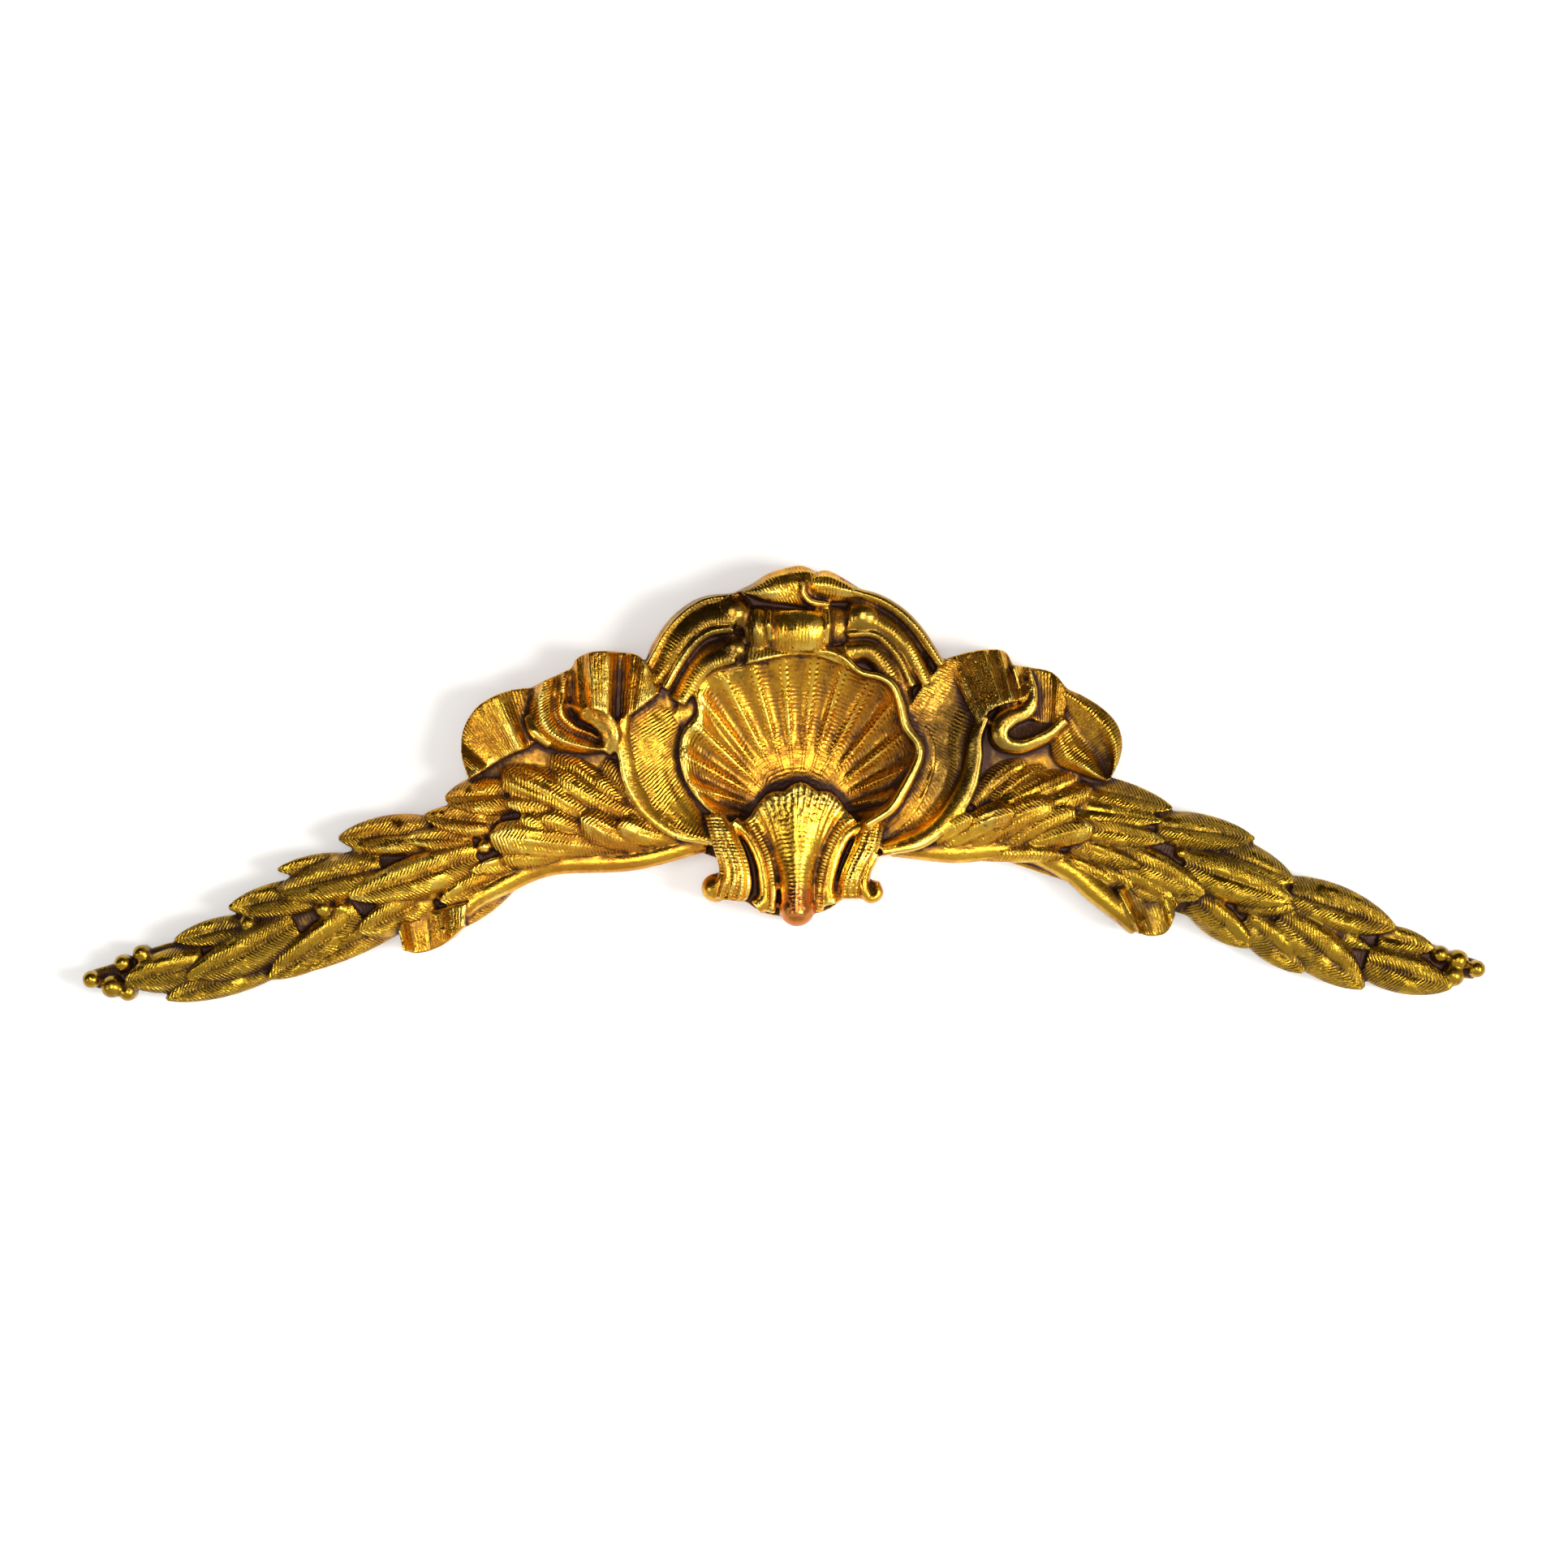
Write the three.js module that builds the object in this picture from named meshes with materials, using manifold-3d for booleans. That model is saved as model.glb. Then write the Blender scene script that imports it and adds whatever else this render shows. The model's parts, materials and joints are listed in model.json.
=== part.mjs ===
// A gilt bronze pediment mount: a scallop shell under a scrolled crest, between ruffled ears and laurel sprays.
// It is cast in one piece with a flat back. X runs along the mount, Z is up, and the front faces -Y.
import * as THREE from "three";
import { mergeVertices } from "three/addons/utils/BufferGeometryUtils.js";
import Module from "manifold-3d";

const wasm = await Module();
wasm.setup();

// Driving sizes, in millimetres
const mountWidth = 348; // berry to berry
const mountDepth = 20; // back face to the highest point of the drop
const nailHoleDiameter = 2;
const backSink = 1.5; // how far each carved form reaches behind the back plane before the back is planed flat

// The layout is drawn in steps, from the middle of the back, and the relief in hundredths of the depth
const stepsAcross = 1740;
const step = mountWidth / stepsAcross;
const rise = mountDepth / 100;

// The lie of each spray: place along its middle line, half width and height of its rounded back
const leftSpray = [
  [-868, -288, 14, 16], [-760, -267, 30, 24], [-680, -247, 40, 30],
  [-580, -198, 52, 36], [-480, -165, 60, 42], [-380, -115, 66, 47],
  [-280, -80, 70, 50], [-180, -80, 60, 50], [-110, -110, 28, 45],
];
const rightSpray = [
  [844, -276, 14, 16], [740, -258, 32, 24], [660, -230, 44, 30],
  [560, -185, 54, 36], [460, -142, 60, 42], [360, -112, 66, 47],
  [260, -82, 66, 50], [180, -85, 58, 50], [115, -115, 26, 45],
];

// Each leaf: foot x, z, tip x, z, half width, and how far its middle bows sideways
const leftLeaves = [
  [-732, -268, -829, -290, 26, 0], [-644, -268, -778, -312, 20, 0], [-680, -221, -768, -239, 16, 0],
  [-618, -219, -752, -286, 27, 5], [-592, -181, -701, -199, 21, 0], [-485, -213, -628, -281, 16, 0],
  [-539, -205, -652, -286, 24, 4], [-557, -142, -641, -152, 13, 0], [-511, -149, -640, -179, 27, 0],
  [-451, -184, -540, -229, 23, 3], [-450, -106, -565, -113, 24, 0], [-392, -135, -550, -185, 27, 3],
  [-345, -155, -438, -191, 19, 0], [-350, -158, -430, -228, 17, 0], [-399, -114, -482, -113, 14, 0],
  [-364, -95, -459, -85, 19, 0], [-322, -138, -400, -153, 12, 0], [-345, -58, -433, -63, 25, 0],
];
const rightLeaves = [
  [722, -234, 790, -249, 16, 0], [706, -266, 812, -297, 25, 0], [612, -180, 742, -224, 27, 0],
  [655, -226, 710, -249, 9, 0], [597, -211, 703, -298, 30, 0], [556, -213, 628, -279, 21, 0],
  [545, -193, 616, -199, 13, 0], [515, -123, 617, -166, 22, 0], [492, -190, 562, -248, 20, 0],
  [480, -144, 614, -190, 27, 0], [447, -97, 568, -114, 21, 0], [410, -165, 498, -188, 13, 0],
  [385, -125, 505, -182, 22, 0], [372, -150, 472, -196, 20, 0], [318, -140, 390, -168, 15, 0],
  [352, -150, 416, -172, 14, 0], [340, -120, 425, -148, 12, 0], [338, -96, 455, -116, 16, 0],
  [320, -72, 452, -92, 14, 0], [345, -46, 466, -76, 18, 0],
];

// Each lobe of the two acanthus leaves: root x, z, end x, z, half width, and how far its middle bows sideways
const leftLobes = [
  [-205, -130, -376, -110, 23, 0], [-222, -138, -362, -138, 11, 0], [-255, -126, -338, -86, 13, 3],
  [-232, -128, -313, -86, 14, -4], [-168, -126, -264, -88, 20, 8], [-144, -118, -219, -96, 16, 5],
  [-255, -86, -362, -28, 24, -4], [-262, -84, -358, -68, 9, 0], [-182, -92, -298, -29, 15, 6],
  [-213, -71, -304, -5, 18, -4], [-186, -86, -236, -8, 14, -2], [-203, -86, -248, -36, 10, -2],
];
const rightLobes = [
  [155, -130, 218, -85, 13, 3], [182, -128, 272, -79, 18, 7], [222, -122, 316, -69, 20, 8],
  [262, -124, 344, -77, 15, 5], [280, -126, 366, -98, 16, 3], [150, -132, 330, -134, 9, 0],
  [218, -70, 290, -7, 16, 8], [241, -67, 324, -8, 15, 2], [232, -84, 356, -25, 18, 3],
  [250, -92, 366, -50, 14, 0],
];

// Each berry: x, z, radius
const berries = [
  [-810, -256, 11], [-833, -268, 11], [-872, -288, 11], [-846, -297, 14], [-827, -304, 11],
  [-677, -219, 11], [-539, -130, 8], [-583, -200, 11], [-561, -199, 9], [-447, -182, 7],
  [-383, -123, 9], [799, -257, 11], [821, -264, 13], [844, -275, 11], [815, -283, 14],
  [470, -116, 7], [476, -131, 8], [603, -172, 7], [568, -214, 7],
];
const nailHoles = [
  [-622, -221], [-183, -107], [178, -107], [720, -242],
];

// The wavy rim of the shell, from its left foot over the top to its right foot
const shellRim = [
  [-92, -92], [-120, -65], [-137, -38], [-143, -8], [-139, 18], [-121, 42], [-123, 66], [-110, 90], [-68, 103],
  [-40, 114], [42, 116], [72, 98], [112, 82], [130, 45], [152, -8], [134, -54], [86, -95],
];
// The middle of the lip on the right half of the rim
const shellLipLine = [
  [25, 116], [42, 116], [60, 108], [80, 91], [104, 85], [120, 74], [129, 52], [136, 24], [150, 5], [152, -12],
  [144, -32], [132, -54], [116, -78], [86, -97],
];
const shellHinge = [2, -85];
const hingeRadius = 22;
const ribs = 16;
const shellFloor = 24;
const shellEdge = 74;

// A closed mesh with merged vertices as a solid, without flat faces, and turned round if its faces point in
function solidOf(geometry) {
  geometry.deleteAttribute("normal");
  geometry.deleteAttribute("uv");
  const merged = mergeVertices(geometry, 1e-4);
  const corners = merged.index.array;
  const kept = [];
  for (let i = 0; i < corners.length; i += 3) {
    const [a, b, c] = corners.slice(i, i + 3);
    if (a !== b && b !== c && c !== a) kept.push(a, b, c);
  }
  const triVerts = Uint32Array.from(kept);
  const vertProperties = merged.getAttribute("position").array;
  const made = new wasm.Manifold(new wasm.Mesh({ numProp: 3, vertProperties, triVerts }));
  if (made.volume() > 0) return made;
  for (let i = 0; i < triVerts.length; i += 3) {
    [triVerts[i], triVerts[i + 1]] = [triVerts[i + 1], triVerts[i]];
  }
  return new wasm.Manifold(new wasm.Mesh({ numProp: 3, vertProperties, triVerts }));
}

// A box whose front is bent to form(t, s), t from 0 to 1 and s from -1 to 1: x and z in steps, and the height
function carve(form, along, across) {
  const box = new THREE.BoxGeometry(1, 1, 1, along, across, 1);
  const place = box.getAttribute("position");
  for (let i = 0; i < place.count; i++) {
    const [x, z, height] = form(place.getX(i) + 0.5, place.getY(i) * 2);
    const y = place.getZ(i) > 0 ? -height * rise : backSink;
    place.setXYZ(i, x * step, y, z * step);
  }
  return solidOf(box);
}

const mix = (a, b, t) => a + (b - a) * t;

// A smooth line through points, read by its length at t from 0 to 1
function smoothLine(points) {
  const places = points.map(([x, z]) => new THREE.Vector3(x, 0, z));
  const curve = new THREE.CatmullRomCurve3(places, false, "catmullrom", 0.5);
  return (t) => {
    const p = curve.getPointAt(Math.min(1, Math.max(0, t)));
    return [p.x, p.z];
  };
}

// A value read smoothly from an evenly spaced list at t from 0 to 1
function readList(list, t) {
  const at = Math.min(1, Math.max(0, t)) * (list.length - 1);
  const i = Math.min(Math.floor(at), list.length - 2);
  const w = at - i;
  return mix(list[i], list[i + 1], w * w * (3 - 2 * w));
}

// The height of a spray's rounded back under a point
function sprayBack(spray, x, z) {
  let best = 0;
  for (let i = 0; i + 1 < spray.length; i++) {
    const [ax, az, aw, ah] = spray[i];
    const [bx, bz, bw, bh] = spray[i + 1];
    const t = ((x - ax) * (bx - ax) + (z - az) * (bz - az)) / ((bx - ax) ** 2 + (bz - az) ** 2);
    const at = Math.min(1, Math.max(0, t));
    const away = Math.hypot(x - mix(ax, bx, at), z - mix(az, bz, at)) / mix(aw, bw, at);
    best = Math.max(best, mix(ah, bh, at) * (1 - 0.42 * Math.min(1.2, away) ** 2));
  }
  return best;
}

// A strip along a line: half widths and heights run from its start to its end, and profile adds across it
function strip(points, widths, heights, profile, along, across) {
  const line = smoothLine(points);
  return carve(
    (t, s) => {
      const [x, z] = line(t);
      const [ax, az] = line(t - 0.01);
      const [bx, bz] = line(t + 0.01);
      const length = Math.hypot(bx - ax, bz - az);
      const out = readList(widths, t) * s;
      const height = readList(heights, t) + profile(s, t);
      return [x - ((bz - az) / length) * out, z + ((bx - ax) / length) * out, height];
    },
    along,
    across,
  );
}

// A sheet between two lines: s -1 is the first and s 1 is the second
function sheet(first, second, height, along, across) {
  const a = smoothLine(first);
  const b = smoothLine(second);
  return carve(
    (t, s) => {
      const [ax, az] = a(t);
      const [bx, bz] = b(t);
      const across01 = (s + 1) / 2;
      return [mix(ax, bx, across01), mix(az, bz, across01), height(t, across01)];
    },
    along,
    across,
  );
}

// A pointed laurel leaf: two swelling halves beside a sunk midrib, with its tip lifted off what lies below
function leaf(spray, [footX, footZ, tipX, tipZ, halfWidth, bow]) {
  const length = Math.hypot(tipX - footX, tipZ - footZ);
  const nx = -(tipZ - footZ) / length;
  const nz = (tipX - footX) / length;
  const crown = halfWidth * 0.42;
  return carve(
    (t, s) => {
      const width = 1.06 * halfWidth * Math.max(0, Math.sin(Math.PI * (0.22 + 0.78 * t)) - 1e-9) ** 0.62;
      const side = width * s + bow * Math.sin(Math.PI * t);
      const x = mix(footX, tipX, t) + nx * side;
      const z = mix(footZ, tipZ, t) + nz * side;
      const half = (Math.abs(s) - 0.5) / 0.5;
      const swell = Math.abs(s) < 0.5 ? 1 - 0.5 * half ** 2 : 1 - half ** 2;
      const body = crown * swell * Math.sin(Math.PI * Math.min(1, 0.16 + t * 0.84));
      return [x, z, sprayBack(spray, x, z) + 14 * t ** 1.3 + body];
    },
    halfWidth > 19 ? 3 : 2,
    halfWidth > 16 ? 4 : 2,
  );
}

// A round-ended lobe of acanthus, narrow at its root
function lobe(spray, [rootX, rootZ, endX, endZ, halfWidth, bow]) {
  const length = Math.hypot(endX - rootX, endZ - rootZ);
  const nx = -(endZ - rootZ) / length;
  const nz = (endX - rootX) / length;
  return carve(
    (t, s) => {
      const width = 1.12 * halfWidth * (0.6 + 0.5 * t ** 0.8) * Math.sqrt(Math.max(0.1, 1 - t ** 8));
      const side = width * s + bow * Math.sin(Math.PI * t);
      const x = mix(rootX, endX, t) + nx * side;
      const z = mix(rootZ, endZ, t) + nz * side;
      return [x, z, sprayBack(spray, x, z) + 15 * t + halfWidth * 0.465 * (1 - s * s) - 6 * t ** 10];
    },
    3,
    2,
  );
}

// A round boss on a peg that reaches the back
function boss([x, z, radius], height, sides) {
  const wide = radius * step;
  const top = height * rise;
  const outline = [[0, -backSink], [1, -backSink], [1, top - wide], [0.75, top - 0.34 * wide], [0, top]];
  const ball = new THREE.LatheGeometry(
    outline.map(([r, y]) => new THREE.Vector2(r * wide, y)),
    sides,
  );
  ball.rotateX(Math.PI);
  ball.translate(x * step, 0, z * step);
  return solidOf(ball);
}

function berry(row) {
  const [x, z, radius] = row;
  const spray = x < 0 ? leftSpray : rightSpray;
  return boss(row, Math.max(18, sprayBack(spray, x, z)) + (radius * step * 1.2) / rise, 6);
}

// The rounded back of a spray, which shows between the leaves
function stem(spray) {
  const heights = spray.map(([, , , height]) => height - 3);
  return strip(
    spray.map(([x, z]) => [x, z]),
    spray.map(([, , width]) => width * 0.9),
    heights,
    (s, t) => -0.3 * readList(heights, t) * s * s,
    10,
    2,
  );
}

// A rounded profile that rises by crown, and leans to one side
const round = (crown, lean = 0) => (s) => crown * (Math.sqrt(Math.max(0, 1 - s * s)) - 0.5) + lean * s;

// The shell: a fluted bowl that rises from its hinge to a turned-up rim
function shell() {
  const rim = smoothLine(shellRim);
  const [hingeX, hingeZ] = shellHinge;
  return carve(
    (t, s) => {
      const [rimX, rimZ] = rim(1 - t);
      const turn = Math.PI * (1.16 * t - 0.08);
      const out = ((s + 1) / 2) ** 0.7;
      const x = mix(hingeX + Math.cos(turn) * hingeRadius, rimX, out);
      const z = mix(hingeZ + Math.sin(turn) * hingeRadius, rimZ, out);
      const leftness = readList([0, 0, 0, 1, 1, 1], t);
      const wall = 0.7 * out ** 2.4 + 0.3 * out ** 6;
      const foot = 16 * Math.max(0, 1 - out / 0.3) ** 2;
      const bowl = mix(shellFloor, shellEdge, wall) + foot - 8 * leftness * out ** 3;
      const strength = Math.min(1, Math.max(0, (out - 0.3) / 0.2)) * Math.min(1, (1 - out) / 0.13);
      const flute = 3 - 7 * Math.abs(Math.cos(Math.PI * ribs * t));
      return [x, z, bowl + flute * strength];
    },
    ribs * 2,
    3,
  );
}

// The lip on the shell's right rim, and the seats that close the gaps between the shell and its surround
function shellSurround() {
  const leftSeat = [[-106, -100], [-134, -64], [-152, -20], [-148, 20], [-133, 46], [-134, 68], [-118, 98]];
  const rightSeat = [[98, -106], [128, -84], [150, -50], [160, -8], [146, 30], [134, 56], [122, 86]];
  return [
    strip(shellLipLine, [3, 4, 5, 6, 6, 6, 5], [70, 74, 77, 77, 74], round(6), 12, 1),
    strip(leftSeat, [12, 12], [42, 42, 48], round(0), 6, 1),
    strip(rightSeat, [12, 12], [48, 50, 48], round(0), 6, 1),
  ];
}

// The smooth concave ears beside the shell, each with a lip on its outer edge
function ears() {
  const leftSide = [[-168, 68], [-135, 33], [-140, 5], [-141, -20], [-132, -50], [-118, -78], [-98, -102]];
  const leftEdge = [
    [-208, 36], [-212, 12], [-208, -15], [-202, -42], [-180, -78], [-145, -104], [-104, -116],
  ];
  const rightSide = [
    [186, 108], [164, 84], [144, 56], [133, 30], [152, -2], [152, -28], [133, -60], [104, -100],
  ];
  const rightTop = [262, 84];
  const rightEdge = [
    [232, 38], [221, 12], [219, -14], [213, -42], [199, -70], [178, -96], [150, -115], [106, -126],
  ];
  const leftScoop = (t, w) => readList([40, 45, 50, 53, 56], w) + 4 * t;
  const rightScoop = (t, w) => readList([58, 52, 47, 46, 51, 60], w);
  return [
    sheet(leftSide, leftEdge, leftScoop, 6, 3),
    sheet(rightSide, [rightTop, ...rightEdge], rightScoop, 6, 3),
    strip(leftEdge, [8, 10, 11, 10, 6], [60, 60, 58, 55], round(4, -4), 6, 1),
    strip(rightEdge, [7, 11, 13, 12, 9], [67, 64, 60, 57], round(5, 4), 7, 1),
  ];
}

// The ruffles: flutes between the silhouette and a rolled lower edge that doubles back on itself
function ruffles() {
  const leftFlap = sheet(
    [[-404, -36], [-412, -8], [-410, 22], [-394, 48], [-370, 63], [-346, 71], [-324, 73]],
    [[-402, -40], [-388, -32], [-370, -20], [-350, -9], [-334, -3], [-324, 3], [-314, 10]],
    (t, w) => readList([60, 54, 42, 42, 50, 60, 46, 40], t) + 6 * w,
    8,
    1,
  );
  const hemPath = [[-400, -42], [-360, -26], [-312, -12]];
  const leftHem = strip(hemPath, [6, 12, 14], [30, 34, 36], round(2), 4, 1);
  const leftFold = sheet(
    [[-325, 74], [-331, 50], [-329, 28], [-315, 8], [-290, -6], [-262, -11], [-240, -8]],
    [[-274, 98], [-278, 70], [-281, 46], [-268, 30], [-250, 22], [-240, 14], [-235, 4]],
    (t, w) => readList([44, 54, 60, 60, 52, 48], t) + readList([-8, 4, 14, 8, -2, 4, -8], w),
    5,
    3,
  );
  const leftCurl = strip([[-331, 38], [-322, 20], [-302, 2]], [5, 8, 6], [52, 60, 58], round(14), 3, 3);
  const leftFlute = sheet(
    [[-276, 98], [-268, 110], [-248, 117], [-220, 117], [-190, 110], [-166, 74]],
    [[-276, 52], [-256, 48], [-236, 42], [-220, 32], [-204, 38], [-168, 66]],
    (t, w) => readList([42, 52, 68, 68, 46, 56, 63, 60, 54], t) + 9 * w,
    8,
    1,
  );
  const leftRoll = strip(
    [[-278, 50], [-258, 43], [-240, 35], [-230, 22], [-228, 6], [-235, -6]],
    [6, 13, 14, 13, 10],
    [48, 62, 66, 65, 60],
    round(7, 3),
    6,
    2,
  );
  const rightFlapHeight = (t, w) => {
    const valley = readList([0, 0, 0.5, 1, 1], t);
    const calm = readList([50, 56, 52, 48, 52, 56, 50], w);
    return mix(calm, readList([52, 60, 46, 42, 54, 60, 50], w), valley);
  };
  const rightFlap = sheet(
    [[334, 72], [356, 62], [378, 48], [396, 29], [403, 6], [399, -18], [388, -40]],
    [[322, 36], [316, 16], [316, -6], [324, -22], [344, -30], [364, -38], [384, -43]],
    rightFlapHeight,
    5,
    4,
  );
  const rightFold = sheet(
    [[266, 101], [296, 97], [318, 91], [336, 70]],
    [[284, 36], [302, 30], [318, 30], [330, 36]],
    (t, w) => readList([62, 50, 44, 46, 54, 52], t) + 4 * w,
    5,
    1,
  );
  const rightFlute = sheet(
    [[185, 109], [210, 116], [235, 120], [258, 118], [267, 104], [272, 94]],
    [[223, 28], [235, 40], [248, 49], [264, 54], [280, 58], [290, 72]],
    (t, w) => mix(46, 68, w) + readList([0, 2, 6, 4, -2, -4], t),
    6,
    2,
  );
  const rightRibbon = sheet(
    [[256, 34], [272, 32], [292, 36], [310, 36], [330, 40]],
    [[254, 8], [262, 2], [282, 2], [306, 10], [334, 28]],
    (t, w) => 48 + 12 * w - 6 * Math.sin(Math.PI * t),
    4,
    1,
  );
  const rightRoll = strip(
    [
      [288, 92], [292, 64], [283, 45], [264, 38], [252, 26], [251, 12], [259, 3], [277, 0], [297, 6],
      [316, 16], [333, 32],
    ],
    [3, 6, 11, 14, 12, 9, 8, 8, 7],
    [60, 65, 67, 61, 58],
    round(8, 3),
    11,
    2,
  );
  return [
    leftFlap,
    leftHem,
    leftFold,
    leftCurl,
    leftFlute,
    leftRoll,
    rightFlap,
    rightFold,
    rightFlute,
    rightRibbon,
    rightRoll,
  ];
}

// The crest: a pair of C-scrolls and a spool under a turned-over leaf
function crest() {
  const leftRim = [[-181, 100], [-160, 138], [-138, 163], [-112, 179], [-84, 184]];
  const leftOuter = [[-178, 86], [-154, 127], [-133, 151], [-108, 166], [-76, 169]];
  const leftFillet = [[-160, 72], [-141, 105], [-122, 129], [-103, 141], [-76, 145]];
  const leftInner = [[-146, 56], [-128, 90], [-108, 110], [-78, 120]];
  const rightRim = [[72, 190], [101, 181], [127, 166], [147, 147], [163, 125], [180, 100]];
  const rightOuter = [[66, 162], [96, 157], [118, 146], [137, 128], [151, 104], [164, 78]];
  const rightFillet = [[64, 138], [96, 138], [113, 126], [129, 106], [144, 74]];
  const rightInner = [[62, 116], [88, 118], [102, 108], [116, 90], [129, 68], [138, 44]];
  const scrolls = [
    strip(leftRim, [4, 4], [56, 60, 64], round(6), 5, 1),
    strip(leftOuter, [14, 19, 20, 20, 20], [52, 61, 67], round(8, -9), 5, 2),
    strip(leftFillet, [5, 6], [64, 72], round(8), 5, 1),
    strip(leftInner, [12, 18, 19, 19], [50, 60], round(10, -8), 4, 2),
    strip(rightRim, [6, 7, 7, 7, 6], [72, 68, 60], round(12), 6, 1),
    strip(rightOuter, [20, 15, 13, 12, 10], [64, 60, 54], round(12, -4), 5, 2),
    strip(rightFillet, [5, 6], [66, 60], round(8), 5, 1),
    strip(rightInner, [14, 14, 14, 13, 10], [62, 58, 50], round(14), 5, 2),
  ];
  const ends = [
    boss([-77, 165, 25], 75, 8),
    boss([-76, 121, 20], 68, 8),
    boss([84, 160, 24], 75, 8),
  ];
  const back = sheet(
    [[-160, 128], [-120, 150], [-80, 182], [0, 200], [80, 182], [120, 150], [160, 128]],
    [[-138, 50], [-112, 84], [-60, 104], [0, 112], [60, 104], [112, 84], [138, 50]],
    (t) => 48 + 4 * Math.sin(Math.PI * t),
    8,
    1,
  );
  const spool = sheet(
    [[-66, 168], [-44, 172], [-10, 168], [24, 168], [50, 172], [72, 168]],
    [[-62, 124], [-40, 120], [-8, 116], [22, 116], [44, 122], [66, 124]],
    (t, w) => readList([54, 66, 58, 66, 72, 73, 68, 54, 48], t) + 12 * Math.sin(Math.PI * w) ** 0.7,
    8,
    3,
  );
  const collars = [
    strip([[-32, 168], [-33, 150], [-30, 130]], [4, 5, 4], [70, 80, 70], round(6), 2, 1),
    strip([[39, 168], [40, 150], [38, 126]], [4, 4, 4], [76, 84, 76], round(6), 2, 1),
  ];
  const spoolFoot = sheet(
    [[-60, 124], [-20, 120], [0, 118], [30, 120], [62, 124]],
    [[-62, 100], [-20, 110], [0, 112], [30, 110], [62, 98]],
    (t, w) => 66 + 4 * w,
    4,
    1,
  );
  const leftLeaf = sheet(
    [[-84, 186], [-54, 200], [-34, 213], [-12, 220], [8, 223], [24, 216]],
    [[-64, 190], [-40, 180], [-10, 176], [12, 172], [30, 172], [36, 190]],
    (t, w) => readList([60, 72, 76, 76, 72, 66], w) + 4 * Math.sin(2 * Math.PI * t),
    5,
    3,
  );
  const rightLeaf = sheet(
    [[22, 213], [38, 217], [58, 208], [86, 190]],
    [[20, 186], [34, 180], [60, 179], [84, 182]],
    (t, w) => readList([62, 75, 78, 74, 66], w),
    3,
    3,
  );
  const curl = strip([[10, 200], [10, 188], [20, 177], [42, 174]], [3, 4, 4, 3], [80, 80], round(6), 4, 1);
  return [...scrolls, ...ends, back, spool, ...collars, spoolFoot, leftLeaf, rightLeaf, curl];
}

// The drop: a ribbed fan that runs into a tongue, between cords, fillets and small fluted volutes
function drop() {
  const back = sheet(
    [[-98, -98], [-50, -86], [50, -86], [98, -98]],
    [[-64, -190], [-30, -208], [32, -204], [62, -186]],
    () => 40,
    4,
    1,
  );
  const left = smoothLine([[-54, -84], [-40, -104], [-29, -128], [-21, -156], [-18, -182], [-18, -206]]);
  const right = smoothLine([[66, -84], [50, -100], [36, -124], [26, -152], [22, -182], [22, -206]]);
  const fan = carve(
    (t, s) => {
      const w = (s + 1) / 2;
      const [ax, az] = left(t);
      const [bx, bz] = right(t);
      const scallops = 8 * Math.abs(Math.sin(3 * Math.PI * w));
      const arch = (32 * Math.sin(Math.PI * w) ** 0.9 + scallops) * (1 - t) ** 3;
      const lines = 3 * Math.cos(Math.PI * 12 * w) * Math.max(0, 1 - t / 0.5);
      const height = 58 + 20 * t ** 0.7 + 18 * (1 - (2 * w - 1) ** 2) + lines;
      return [mix(ax, bx, w), mix(az, bz, w) + arch, height];
    },
    4,
    12,
  );
  const leftCord = [[-58, -88], [-45, -110], [-34, -134], [-28, -164], [-27, -186], [-30, -204]];
  const rightCord = [[72, -88], [54, -102], [41, -126], [32, -156], [28, -184], [29, -204]];
  const leftFillet = [[-76, -92], [-56, -112], [-43, -138], [-37, -166], [-37, -188], [-48, -198]];
  const rightFillet = [[92, -96], [66, -106], [52, -126], [44, -150], [40, -176], [44, -194]];
  const bands = [
    strip(leftCord, [5, 5], [64, 74, 70], round(10), 5, 1),
    strip(rightCord, [6, 6], [64, 74, 70], round(10), 5, 1),
    strip(leftFillet, [8, 8, 10], [58, 66, 66], round(8), 5, 2),
    strip(rightFillet, [8, 9, 11], [58, 68, 68], round(10), 5, 2),
  ];
  const scroll = (t, w) => readList([56, 62, 66, 66, 60], t) + 12 * Math.sin(Math.PI * w) ** 0.6;
  const leftVolute = sheet(
    [[-112, -84], [-103, -118], [-96, -140], [-94, -156], [-100, -172], [-104, -186]],
    [[-86, -84], [-66, -120], [-56, -150], [-54, -172], [-58, -186], [-66, -191]],
    scroll,
    5,
    2,
  );
  const rightVolute = sheet(
    [[82, -90], [70, -122], [58, -150], [52, -170], [50, -182], [52, -187]],
    [[110, -94], [104, -122], [92, -144], [84, -162], [82, -176], [84, -187]],
    scroll,
    5,
    2,
  );
  const curlPath = [[100, -132], [88, -152], [84, -172], [92, -186], [102, -180], [100, -166]];
  const rightCurl = strip(curlPath, [5, 6, 7, 8, 7, 4], [64, 70, 66], round(12), 7, 2);
  const ends = [boss([2, -199, 22], 94, 8), boss([-98, -174, 18], 68, 8), boss([94, -178, 14], 66, 8)];
  return [back, fan, ...bands, leftVolute, rightVolute, rightCurl, ...ends];
}

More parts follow.
